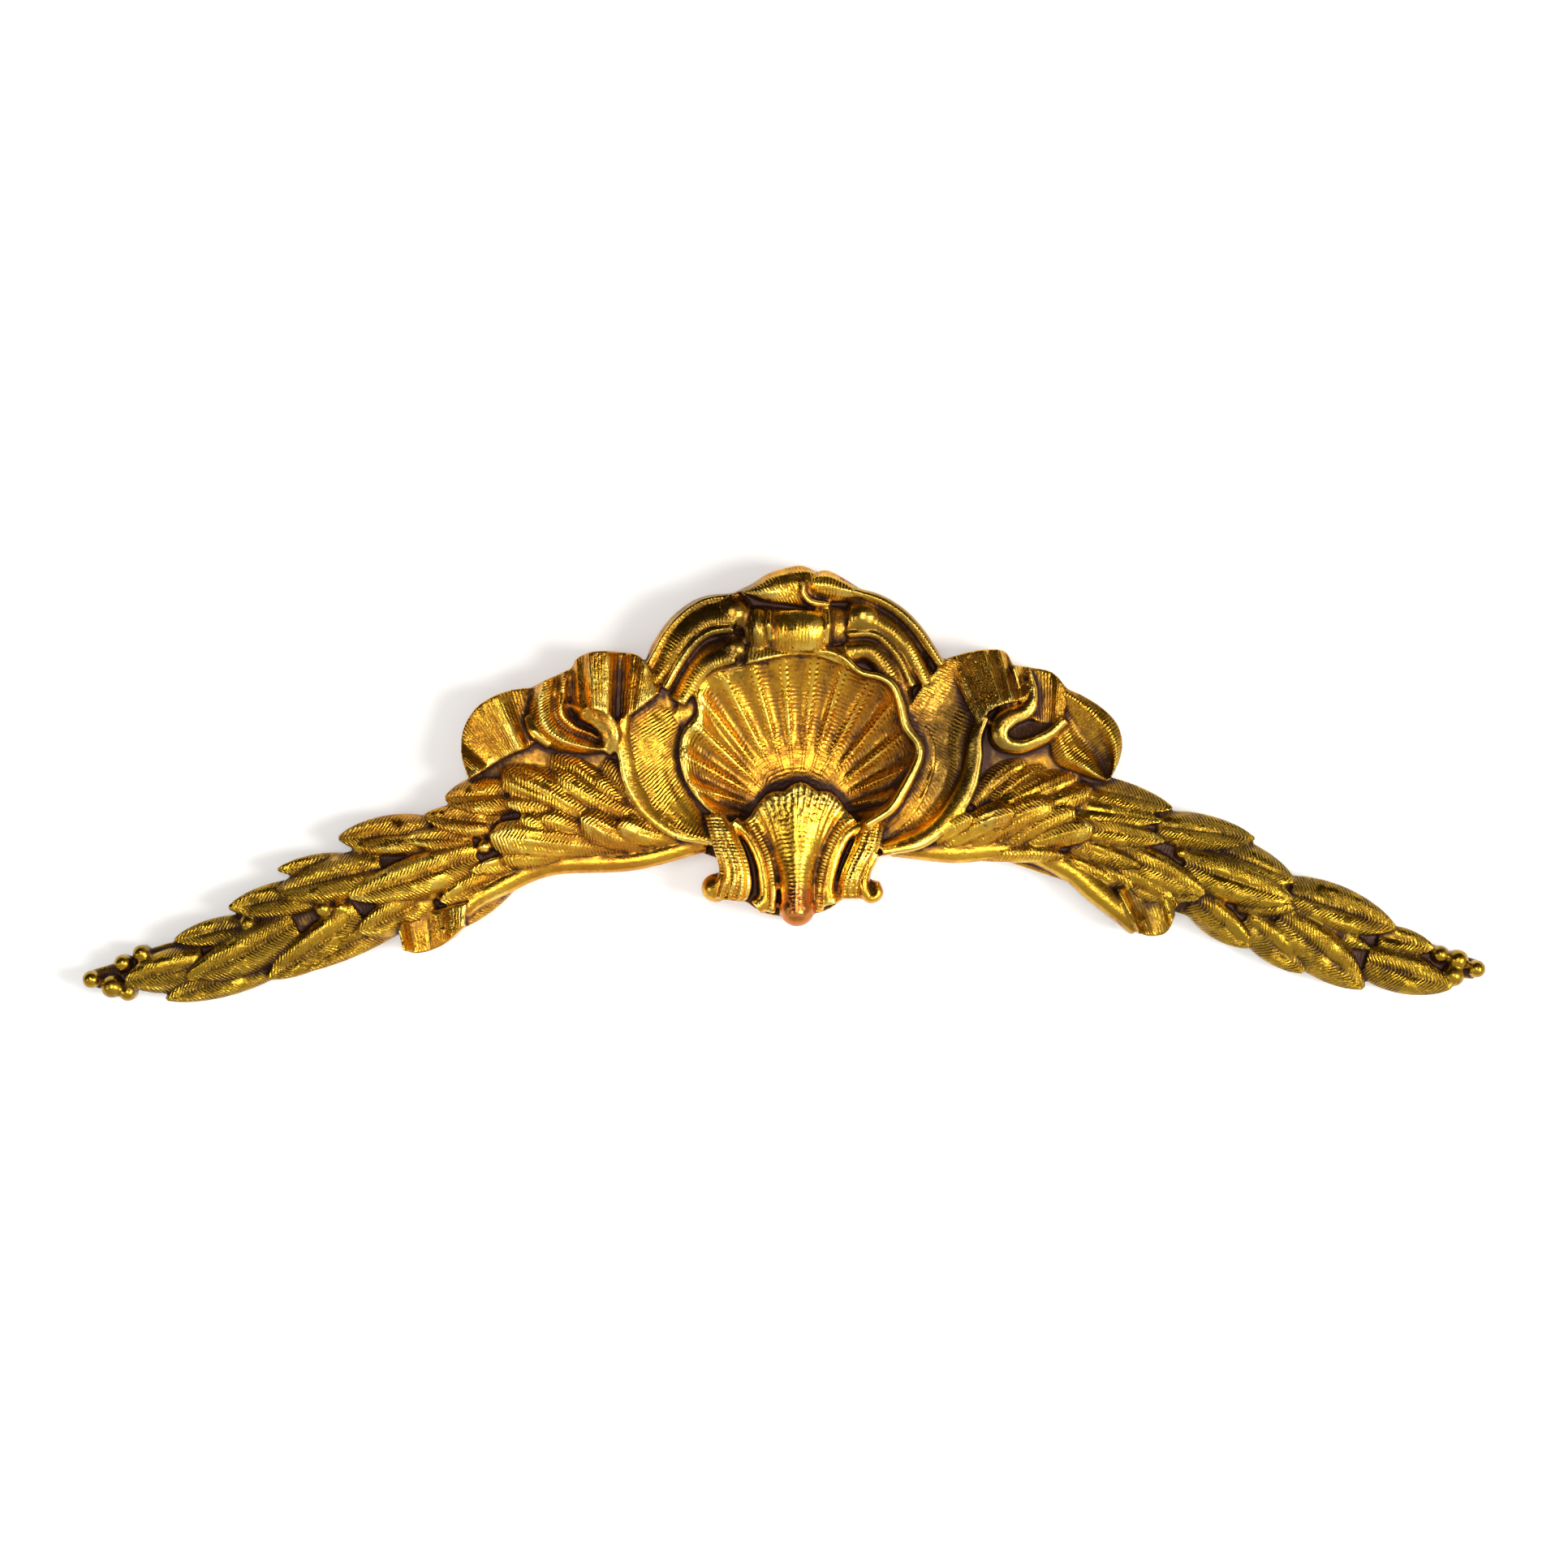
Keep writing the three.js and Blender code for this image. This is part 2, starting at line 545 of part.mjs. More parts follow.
// A thin ground that joins the shell, the ears, the ruffles and the crest
function ground() {
  const top = [
    [-392, -20], [-390, 40], [-330, 64], [-270, 92], [-225, 110], [-182, 98], [-145, 144], [-90, 178],
    [0, 195], [100, 172], [145, 140], [180, 100], [225, 110], [270, 92], [330, 68], [385, 30], [390, -20],
  ];
  const bottom = [
    [-380, -40], [-330, -60], [-280, -80], [-230, -95], [-180, -110], [-125, -128], [-92, -140], [-50, -160],
    [0, -190], [50, -160], [92, -140], [125, -128], [180, -110], [230, -95], [280, -80], [330, -60], [380, -45],
  ];
  return sheet(top, bottom, (t) => readList([34, 44, 46, 44, 18, 18, 18, 44, 46, 44, 34], t), 16, 1);
}

// The plain rolled borders under the two acanthus leaves, and the turned-over ends below the sprays
function borders() {
  const left = [[-432, -230], [-405, -196], [-365, -172], [-300, -145], [-200, -140], [-112, -118]];
  const right = [[120, -124], [195, -130], [275, -126], [338, -150], [372, -178], [402, -203], [424, -222]];
  const leftEnd = sheet(
    [[-490, -221], [-468, -210], [-448, -203], [-428, -197], [-405, -192]],
    [[-483, -251], [-467, -255], [-446, -250], [-428, -240], [-408, -222]],
    (t, w) => readList([56, 40, 36, 42, 52, 54], t) + 4 * w,
    6,
    1,
  );
  const rightEnd = sheet(
    [[396, -176], [420, -171], [446, -178], [468, -194]],
    [[422, -230], [440, -234], [458, -229], [468, -208]],
    (t, w) => readList([62, 46, 40, 42, 50, 46], t) + 4 * w,
    6,
    1,
  );
  return [
    strip(left, [12, 14, 12], [42, 46], round(10), 7, 2),
    strip(right, [12, 14, 14, 16, 14], [44, 46, 50], round(12), 7, 2),
    leftEnd,
    rightEnd,
  ];
}

const joined = [
  ground(),
  ...borders(),
  stem(leftSpray),
  stem(rightSpray),
  ...leftLeaves.map((row) => leaf(leftSpray, row)),
  ...rightLeaves.map((row) => leaf(rightSpray, row)),
  ...leftLobes.map((row) => lobe(leftSpray, row)),
  ...rightLobes.map((row) => lobe(rightSpray, row)),
  ...berries.map(berry),
  shell(),
  ...shellSurround(),
  ...ears(),
  ...ruffles(),
  ...crest(),
  ...drop(),
].reduce((whole, next) => whole.add(next));

// The back is planed flat, and the nail holes are drilled through
const behind = new THREE.BoxGeometry(mountWidth * 1.2, backSink * 4, mountWidth);
behind.translate(0, backSink * 2, 0);
let casting = joined.subtract(solidOf(behind));
for (const [x, z] of nailHoles) {
  const drill = new THREE.CylinderGeometry(nailHoleDiameter / 2, nailHoleDiameter / 2, mountDepth * 3, 10);
  drill.translate(x * step, 0, z * step);
  casting = casting.subtract(solidOf(drill));
}

const cast = casting.getMesh();
const geometry = new THREE.BufferGeometry();
geometry.setAttribute("position", new THREE.BufferAttribute(Float32Array.from(cast.vertProperties), 3));
geometry.setIndex(new THREE.BufferAttribute(Uint32Array.from(cast.triVerts), 1));
geometry.computeVertexNormals();

const giltBronze = new THREE.MeshStandardMaterial({ color: 0xc48a1e, roughness: 0.34, metalness: 1 });
const mount = new THREE.Mesh(geometry, giltBronze);
mount.name = "pediment_mount";

const part = new THREE.Group();
part.add(mount);

export default part;
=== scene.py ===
import bisect
import json
import math

import bmesh
import bpy
import numpy as np
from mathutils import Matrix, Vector
from mathutils.bvhtree import BVHTree

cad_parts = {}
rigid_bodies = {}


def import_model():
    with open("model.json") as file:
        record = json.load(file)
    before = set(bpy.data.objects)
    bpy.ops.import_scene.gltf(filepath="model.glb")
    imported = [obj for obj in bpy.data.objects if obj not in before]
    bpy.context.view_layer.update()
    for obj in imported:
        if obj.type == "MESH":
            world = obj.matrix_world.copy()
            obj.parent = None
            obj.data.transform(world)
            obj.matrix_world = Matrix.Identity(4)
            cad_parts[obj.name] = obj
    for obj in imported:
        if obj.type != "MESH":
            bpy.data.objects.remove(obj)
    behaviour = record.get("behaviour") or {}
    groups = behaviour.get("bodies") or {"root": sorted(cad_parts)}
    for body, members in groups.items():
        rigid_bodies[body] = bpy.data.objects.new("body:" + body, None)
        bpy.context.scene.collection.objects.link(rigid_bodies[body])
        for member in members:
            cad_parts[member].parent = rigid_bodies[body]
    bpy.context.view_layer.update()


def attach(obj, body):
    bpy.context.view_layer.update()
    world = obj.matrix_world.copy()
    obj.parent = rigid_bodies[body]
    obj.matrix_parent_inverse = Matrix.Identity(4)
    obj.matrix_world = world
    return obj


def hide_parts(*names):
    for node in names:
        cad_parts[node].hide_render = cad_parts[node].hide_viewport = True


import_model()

# Metres. The layout is drawn in steps from the middle of the back, the relief in hundredths of the depth.
mount = {
    "width": 0.348,
    "depth": 0.020,
    "stepsAcross": 1740,
    "sink": 0.0015,  # how far each form reaches behind the back plane before it is planed off
    "pinHole": 0.002,
    "holeSides": 24,
}
step = mount["width"] / mount["stepsAcross"]
rise = mount["depth"] / 100
toMillimetres = 1e3  # the chasing is laid out in millimetres along and across each form

# The lie of each spray: place along its middle line, half width and height of its rounded back
leftSpray = [
    (-868, -288, 14, 16), (-760, -267, 30, 24), (-680, -247, 40, 30), (-580, -198, 52, 36),
    (-480, -165, 60, 42), (-380, -115, 66, 47), (-280, -80, 70, 50), (-180, -80, 60, 50),
    (-110, -110, 28, 45),
]
rightSpray = [
    (844, -276, 14, 16), (740, -258, 32, 24), (660, -230, 44, 30), (560, -185, 54, 36), (460, -142, 60, 42),
    (360, -112, 66, 47), (260, -82, 66, 50), (180, -85, 58, 50), (115, -115, 26, 45),
]

# Each leaf: foot x, z, tip x, z, half width, and how far its middle bows sideways
leftLeaves = [
    (-732, -268, -829, -290, 26, 0), (-644, -268, -778, -312, 20, 0), (-680, -221, -768, -239, 16, 0),
    (-618, -219, -752, -286, 27, 5), (-592, -181, -701, -199, 21, 0), (-485, -213, -628, -281, 16, 0),
    (-539, -205, -652, -286, 24, 4), (-557, -142, -641, -152, 13, 0), (-511, -149, -640, -179, 27, 0),
    (-451, -184, -540, -229, 23, 3), (-450, -106, -565, -113, 24, 0), (-392, -135, -550, -185, 27, 3),
    (-345, -155, -438, -191, 19, 0), (-350, -158, -430, -228, 17, 0), (-399, -114, -482, -113, 14, 0),
    (-364, -95, -459, -85, 19, 0), (-322, -138, -400, -153, 12, 0), (-345, -58, -433, -63, 25, 0),
]
rightLeaves = [
    (722, -234, 790, -249, 16, 0), (706, -266, 812, -297, 25, 0), (612, -180, 742, -224, 27, 0),
    (655, -226, 710, -249, 9, 0), (597, -211, 703, -298, 30, 0), (556, -213, 628, -279, 21, 0),
    (545, -193, 616, -199, 13, 0), (515, -123, 617, -166, 22, 0), (492, -190, 562, -248, 20, 0),
    (480, -144, 614, -190, 27, 0), (447, -97, 568, -114, 21, 0), (410, -165, 498, -188, 13, 0),
    (385, -125, 505, -182, 22, 0), (372, -150, 472, -196, 20, 0), (318, -140, 390, -168, 15, 0),
    (352, -150, 416, -172, 14, 0), (340, -120, 425, -148, 12, 0), (338, -96, 455, -116, 16, 0),
    (320, -72, 452, -92, 14, 0), (345, -46, 466, -76, 18, 0),
]

# Each lobe of the two acanthus leaves: root x, z, end x, z, half width, and its middle's bow sideways
leftLobes = [
    (-205, -130, -376, -110, 23, 0), (-222, -138, -362, -138, 11, 0), (-255, -126, -338, -86, 13, 3),
    (-232, -128, -313, -86, 14, -4), (-168, -126, -264, -88, 20, 8), (-144, -118, -219, -96, 16, 5),
    (-255, -86, -362, -28, 24, -4), (-262, -84, -358, -68, 9, 0), (-182, -92, -298, -29, 15, 6),
    (-213, -71, -304, -5, 18, -4), (-186, -86, -236, -8, 14, -2), (-203, -86, -248, -36, 10, -2),
]
rightLobes = [
    (155, -130, 218, -85, 13, 3), (182, -128, 272, -79, 18, 7), (222, -122, 316, -69, 20, 8),
    (262, -124, 344, -77, 15, 5), (280, -126, 366, -98, 16, 3), (150, -132, 330, -134, 9, 0),
    (218, -70, 290, -7, 16, 8), (241, -67, 324, -8, 15, 2), (232, -84, 356, -25, 18, 3),
    (250, -92, 366, -50, 14, 0),
]

# Each berry: x, z, radius
berries = [
    (-810, -256, 11), (-833, -268, 11), (-872, -288, 11), (-846, -297, 14), (-827, -304, 11),
    (-677, -219, 11), (-539, -130, 8), (-583, -200, 11), (-561, -199, 9), (-447, -182, 7), (-383, -123, 9),
    (799, -257, 11), (821, -264, 13), (844, -275, 11), (815, -283, 14),
    (470, -116, 7), (476, -131, 8), (603, -172, 7), (568, -214, 7),
]
nailHoles = [(-622, -221), (-183, -107), (178, -107), (720, -242)]

# The shell: its wavy rim from the left foot over the top to the right foot, and the lip on the right half
shell = {
    "rim": [
        (-92, -92), (-120, -65), (-137, -38), (-143, -8), (-139, 18), (-121, 42), (-123, 66), (-110, 90),
        (-68, 103), (-40, 114), (42, 116), (72, 98), (112, 82), (130, 45), (152, -8), (134, -54), (86, -95),
    ],
    "lip": [
        (25, 116), (42, 116), (60, 108), (80, 91), (104, 85), (120, 74), (129, 52), (136, 24), (150, 5),
        (152, -12), (144, -32), (132, -54), (116, -78), (86, -97),
    ],
    "hinge": (2, -85),
    "hingeRadius": 22,
    "ribs": 16,
    "floor": 24,
    "edge": 74,
}


def mix(a, b, t):
    return a + (b - a) * t


def smoothLine(points):
    # A Catmull-Rom line through points, read by its length, t from 0 to 1
    p = [Vector(q) for q in points]
    p = [p[0] * 2 - p[1]] + p + [p[-1] * 2 - p[-2]]
    fine = []
    for i in range(len(points) - 1):
        a, b, c, d = p[i : i + 4]
        for k in range(12):
            u = k / 12
            v = b * 2 + (c - a) * u + (a * 2 - b * 5 + c * 4 - d) * u * u + (b * 3 - a - c * 3 + d) * u**3
            fine.append(v / 2)
    fine.append(p[-2])
    run = [0.0]
    for a, b in zip(fine, fine[1:]):
        run.append(run[-1] + (b - a).length)

    def at(t):
        far = min(max(t, 0.0), 1.0) * run[-1]
        i = min(max(bisect.bisect_right(run, far) - 1, 0), len(fine) - 2)
        w = (far - run[i]) / (run[i + 1] - run[i])
        v = fine[i].lerp(fine[i + 1], w)
        return v.x, v.y

    return at


def readList(values, t):
    u = min(max(t, 0.0), 1.0) * (len(values) - 1)
    i = min(int(u), len(values) - 2)
    w = u - i
    w = w * w * (3 - 2 * w)
    return mix(values[i], values[i + 1], w)


def sprayBack(spray, x, z):
    # The height of a spray's rounded back under a point
    best = 0.0
    for (ax, az, aw, ah), (bx, bz, bw, bh) in zip(spray, spray[1:]):
        t = ((x - ax) * (bx - ax) + (z - az) * (bz - az)) / ((bx - ax) ** 2 + (bz - az) ** 2)
        t = min(1.0, max(0.0, t))
        away = math.hypot(x - mix(ax, bx, t), z - mix(az, bz, t)) / mix(aw, bw, t)
        best = max(best, mix(ah, bh, t) * (1 - 0.42 * min(1.2, away) ** 2))
    return best


patches = bpy.data.collections.new("patches")


def keepPatch(bm, name):
    bmesh.ops.recalc_face_normals(bm, faces=bm.faces[:])
    mesh = bpy.data.meshes.new(name)
    bm.to_mesh(mesh)
    bm.free()
    patches.objects.link(bpy.data.objects.new(name, mesh))


def carve(name, form, along, across, chase, hatch=0.0, dots=0.0):
    # A grid bent to form(t, s), t from 0 to 1 and s from -1 to 1, and closed behind the back plane
    bm = bmesh.new()
    bmesh.ops.create_grid(bm, x_segments=along, y_segments=across, size=1.0)
    uv = bm.loops.layers.uv.new("Chase")
    hatchLayer = bm.verts.layers.float.new("hatch")
    dotLayer = bm.verts.layers.float.new("dots")
    for face in bm.faces:
        for loop in face.loops:
            loop[uv].uv = chase((loop.vert.co.x + 1) / 2, loop.vert.co.y)
    for v in bm.verts:
        x, z, height = form((v.co.x + 1) / 2, v.co.y)
        v.co = (x * step, -height * rise, z * step)
        v[hatchLayer] = hatch
        v[dotLayer] = dots
    grown = bmesh.ops.extrude_face_region(bm, geom=bm.faces[:])
    for v in grown["geom"]:
        if isinstance(v, bmesh.types.BMVert):
            v.co.y = mount["sink"]
    keepPatch(bm, name)


def strip(name, points, widths, heights, profile, along, across, hatch=0.0):
    # Widths and heights run from the line's start to its end, and profile(s, t) adds across it
    line = smoothLine(points)
    length = sum(math.dist(a, b) for a, b in zip(points, points[1:]))

    def form(t, s):
        x, z = line(t)
        ax, az = line(t - 0.01)
        bx, bz = line(t + 0.01)
        run = math.hypot(bx - ax, bz - az)
        out = readList(widths, t) * s
        return x - (bz - az) / run * out, z + (bx - ax) / run * out, readList(heights, t) + profile(s, t)

    def chase(t, s):
        return t * length * step * toMillimetres, readList(widths, t) * s * step * toMillimetres

    carve(name, form, along, across, chase, hatch)


def sheet(name, first, second, height, along, across, hatch=0.0):
    # A surface between two lines: s -1 is the first and s 1 is the second
    a = smoothLine(first)
    b = smoothLine(second)
    length = sum(math.dist(p, q) for p, q in zip(first, first[1:]))
    depth = math.dist(a(0.5), b(0.5))

    def form(t, s):
        w = (s + 1) / 2
        (ax, az), (bx, bz) = a(t), b(t)
        return mix(ax, bx, w), mix(az, bz, w), height(t, w)

    def chase(t, s):
        return t * length * step * toMillimetres, s * depth / 2 * step * toMillimetres

    carve(name, form, along, across, chase, hatch)


def leaf(name, spray, row):
    # A pointed laurel leaf: two swelling halves beside a sunk midrib, its tip lifted off what lies below
    footX, footZ, tipX, tipZ, halfWidth, bow = row
    length = math.hypot(tipX - footX, tipZ - footZ)
    nx, nz = -(tipZ - footZ) / length, (tipX - footX) / length
    crown = halfWidth * 0.42

    def width(t):
        return 1.06 * halfWidth * max(0.03, math.sin(math.pi * (0.22 + 0.78 * t))) ** 0.62

    def form(t, s):
        side = width(t) * s + bow * math.sin(math.pi * t)
        x = mix(footX, tipX, t) + nx * side
        z = mix(footZ, tipZ, t) + nz * side
        half = abs(abs(s) - 0.5) / 0.5
        swell = 1 - half**2 * (0.15 if abs(s) < 0.5 else 1.0)
        rib = -0.38 * math.exp(-((s / 0.09) ** 2))
        body = (swell + rib) * math.sin(math.pi * min(1.0, 0.16 + t * 0.84))
        return x, z, sprayBack(spray, x, z) + mix(0, 14, t**1.3) + crown * body

    def chase(t, s):
        slant = abs(s) * width(t) * 0.8
        return (t * length + slant) * step * toMillimetres, s * width(t) * step * toMillimetres

    carve(name, form, 24, 20, chase, 1.0)


def lobe(name, spray, row):
    # A round-ended lobe of acanthus with flutes, narrow at its root
    rootX, rootZ, endX, endZ, halfWidth, bow = row
    length = math.hypot(endX - rootX, endZ - rootZ)
    nx, nz = -(endZ - rootZ) / length, (endX - rootX) / length

    def width(t):
        return 1.12 * halfWidth * (0.6 + 0.5 * t**0.8) * math.sqrt(max(0.03, 1 - t**8))

    def form(t, s):
        side = width(t) * s + bow * math.sin(math.pi * t)
        x = mix(rootX, endX, t) + nx * side
        z = mix(rootZ, endZ, t) + nz * side
        flute = 0.07 * math.cos(4 * math.pi * s) * math.sin(math.pi * t)
        body = halfWidth * (0.465 * (1 - s * s) + flute) - 6 * t**10
        return x, z, sprayBack(spray, x, z) + mix(0, 15, t) + body

    def chase(t, s):
        slant = abs(s) * width(t) * 0.5
        return (t * length + slant) * step * toMillimetres, s * width(t) * step * toMillimetres

    carve(name, form, 24, 14, chase, 0.8)


def boss(name, x, z, radius, top):
    # A round boss on a peg that reaches the back
    bm = bmesh.new()
    bmesh.ops.create_uvsphere(bm, u_segments=20, v_segments=12, radius=radius * step)
    bm.loops.layers.uv.new("Chase")
    bm.verts.layers.float.new("hatch")
    bm.verts.layers.float.new("dots")
    for v in bm.verts:
        px, py, pz = v.co
        front = -(top * rise - radius * step) - pz
        v.co = (x * step + px, mount["sink"] if pz < -1e-6 else front, z * step + py)
    keepPatch(bm, name)


def stem(name, spray):
    strip(
        name,
        [(x, z) for x, z, w, h in spray],
        [w * 0.9 for x, z, w, h in spray],
        [h - 3 for x, z, w, h in spray],
        lambda s, t: -0.3 * readList([h for x, z, w, h in spray], t) * s * s,
        60,
        8,
        0.6,
    )


def roundOf(crown, lean=0.0):
    return lambda s, t: crown * math.sqrt(max(0.0, 1 - s * s)) - crown * 0.5 + lean * s


def buildShell():
    rim = smoothLine(shell["rim"])
    hingeX, hingeZ = shell["hinge"]

    def form(t, s):
        rimX, rimZ = rim(1 - t)
        turn = math.pi * (1.16 * t - 0.08)
        out = (s + 1) / 2
        x = mix(hingeX + math.cos(turn) * shell["hingeRadius"], rimX, out)
        z = mix(hingeZ + math.sin(turn) * shell["hingeRadius"], rimZ, out)
        leftness = readList([0, 0, 0, 1, 1, 1], t)
        wall = 0.7 * out**2.4 + 0.3 * out**6
        bowl = shell["floor"] + (shell["edge"] - shell["floor"]) * wall + 16 * max(0.0, 1 - out / 0.3) ** 2
        bowl -= (6 + 12 * max(0.0, (out - 0.9) / 0.1) ** 2) * leftness * out**3
        strength = min(1.0, max(0.0, (out - 0.3) / 0.2)) * min(1.0, (1 - out) / 0.13)
        flute = 3 - 7 * abs(math.cos(math.pi * shell["ribs"] * t)) ** 1.1
        return x, z, bowl + flute * strength

    def chase(t, s):
        return (s + 1) / 2 * 150 * step * toMillimetres, shell["ribs"] * t + 0.5

    carve("shell", form, shell["ribs"] * 12, 34, chase, 0.25, 1.0)
    leftSeat = [(-106, -100), (-134, -64), (-152, -20), (-148, 20), (-133, 46), (-134, 68), (-118, 98)]
    rightSeat = [(98, -106), (128, -84), (150, -50), (160, -8), (146, 30), (134, 56), (122, 86)]
    strip("leftSeat", leftSeat, [12, 12], [42, 42, 48], roundOf(0), 40, 2)
    strip("rightSeat", rightSeat, [12, 12], [48, 50, 48], roundOf(0), 40, 2)
    strip("shellLip", shell["lip"], [3, 4, 5, 6, 6, 6, 5], [70, 74, 77, 77, 74], roundOf(6), 110, 8)


def buildEars():
    leftSide = [(-168, 68), (-135, 33), (-140, 5), (-141, -20), (-132, -50), (-118, -78), (-98, -102)]
    leftEdge = [(-208, 36), (-212, 12), (-208, -15), (-202, -42), (-180, -78), (-145, -104), (-104, -116)]
    rightSide = [(186, 108), (164, 84), (144, 56), (133, 30), (152, -2), (152, -28), (133, -60), (104, -100)]
    rightEdge = [
        (262, 84), (232, 38), (221, 12), (219, -14), (213, -42), (199, -70), (178, -96), (150, -115),
        (106, -126),
    ]

    def leftScoop(t, w):
        return readList([40, 45, 50, 53, 56], w) + 4 * t

    def rightScoop(t, w):
        return readList([58, 52, 47, 46, 51, 60], w)

    sheet("leftEar", leftSide, leftEdge, leftScoop, 48, 26, 0.5)
    sheet("rightEar", rightSide, rightEdge, rightScoop, 56, 60, 0.5)
    strip("leftEarLip", leftEdge, [8, 10, 11, 10, 6], [60, 60, 58, 55], roundOf(4, -4), 60, 10)
    strip("rightEarLip", rightEdge[1:], [7, 11, 13, 12, 9], [67, 64, 60, 57], roundOf(5, 4), 60, 10)


def buildRuffles():
    sheet(
        "leftFlap",
        [(-404, -36), (-412, -8), (-410, 22), (-394, 48), (-370, 63), (-346, 71), (-324, 73)],
        [(-402, -40), (-388, -32), (-370, -20), (-350, -9), (-334, -3), (-324, 3), (-314, 10)],
        lambda t, w: readList([60, 54, 42, 42, 50, 60, 46, 40], t) + 6 * w,
        44, 24, 0.5,
    )
    strip("leftHem", [(-400, -42), (-360, -26), (-312, -12)], [6, 12, 14], [30, 34, 36], roundOf(2), 26, 8)
    sheet(
        "leftFold",
        [(-325, 74), (-331, 50), (-329, 28), (-315, 8), (-290, -6), (-262, -11), (-240, -8)],
        [(-274, 98), (-278, 70), (-281, 46), (-268, 30), (-250, 22), (-240, 14), (-235, 4)],
        lambda t, w: readList([44, 54, 60, 60, 52, 48], t) + readList([-8, 4, 14, 8, -2, 4, -8], w),
        44, 30, 0.5,
    )
    strip("leftCurl", [(-331, 38), (-322, 20), (-302, 2)], [5, 8, 6], [52, 60, 58], roundOf(14), 18, 10)
    sheet(
        "leftFlute",
        [(-276, 98), (-268, 110), (-248, 117), (-220, 117), (-190, 110), (-166, 74)],
        [(-276, 52), (-256, 48), (-236, 42), (-220, 32), (-204, 38), (-168, 66)],
        lambda t, w: readList([42, 52, 68, 68, 46, 56, 63, 60, 54], t) + 9 * w,
        56, 24, 0.5,
    )
    leftRoll = [(-278, 50), (-258, 43), (-240, 35), (-230, 22), (-228, 6), (-235, -6)]
    strip("leftRoll", leftRoll, [6, 13, 14, 13, 10], [48, 62, 66, 65, 60], roundOf(7, 3), 40, 12)

    def rightFlapHeight(t, w):
        valley = readList([0, 0, 0.5, 1, 1], t)
        calm = readList([50, 56, 52, 48, 52, 56, 50], w)
        return mix(calm, readList([52, 60, 46, 42, 54, 60, 50], w), valley)

    sheet(
        "rightFlap",
        [(334, 72), (356, 62), (378, 48), (396, 29), (403, 6), (399, -18), (388, -40)],
        [(322, 36), (316, 16), (316, -6), (324, -22), (344, -30), (364, -38), (384, -43)],
        rightFlapHeight,
        44, 34, 0.5,
    )
    sheet(
        "rightFold",
        [(266, 101), (296, 97), (318, 91), (336, 70)],
        [(284, 36), (302, 30), (318, 30), (330, 36)],
        lambda t, w: readList([62, 50, 44, 46, 54, 52], t) + 4 * w,
        32, 18, 0.5,
    )

    def rightFluteHeight(t, w):
        flutes = 2.6 * math.cos(11 * math.pi * t) * (1 - w * 0.5)
        return mix(46, 68, w) + readList([0, 2, 6, 4, -2, -4], t) - flutes

    sheet(
        "rightFlute",
        [(185, 109), (210, 116), (235, 120), (258, 118), (267, 104), (272, 94)],
        [(223, 28), (235, 40), (248, 49), (264, 54), (280, 58), (290, 72)],
        rightFluteHeight,
        60, 26, 0.6,
    )
    sheet(
        "rightRibbon",
        [(256, 34), (272, 32), (292, 36), (310, 36), (330, 40)],
        [(254, 8), (262, 2), (282, 2), (306, 10), (334, 28)],
        lambda t, w: 48 + 12 * w - 6 * math.sin(math.pi * t),
        30, 12, 0.3,
    )
    rightRoll = [
        (288, 92), (292, 64), (283, 45), (264, 38), (252, 26), (251, 12), (259, 3), (277, 0),
        (297, 6), (316, 16), (333, 32),
    ]
    rollWidths = [3, 6, 11, 14, 12, 9, 8, 8, 7]
    strip("rightRoll", rightRoll, rollWidths, [60, 65, 67, 61, 58], roundOf(8, 3), 80, 12)


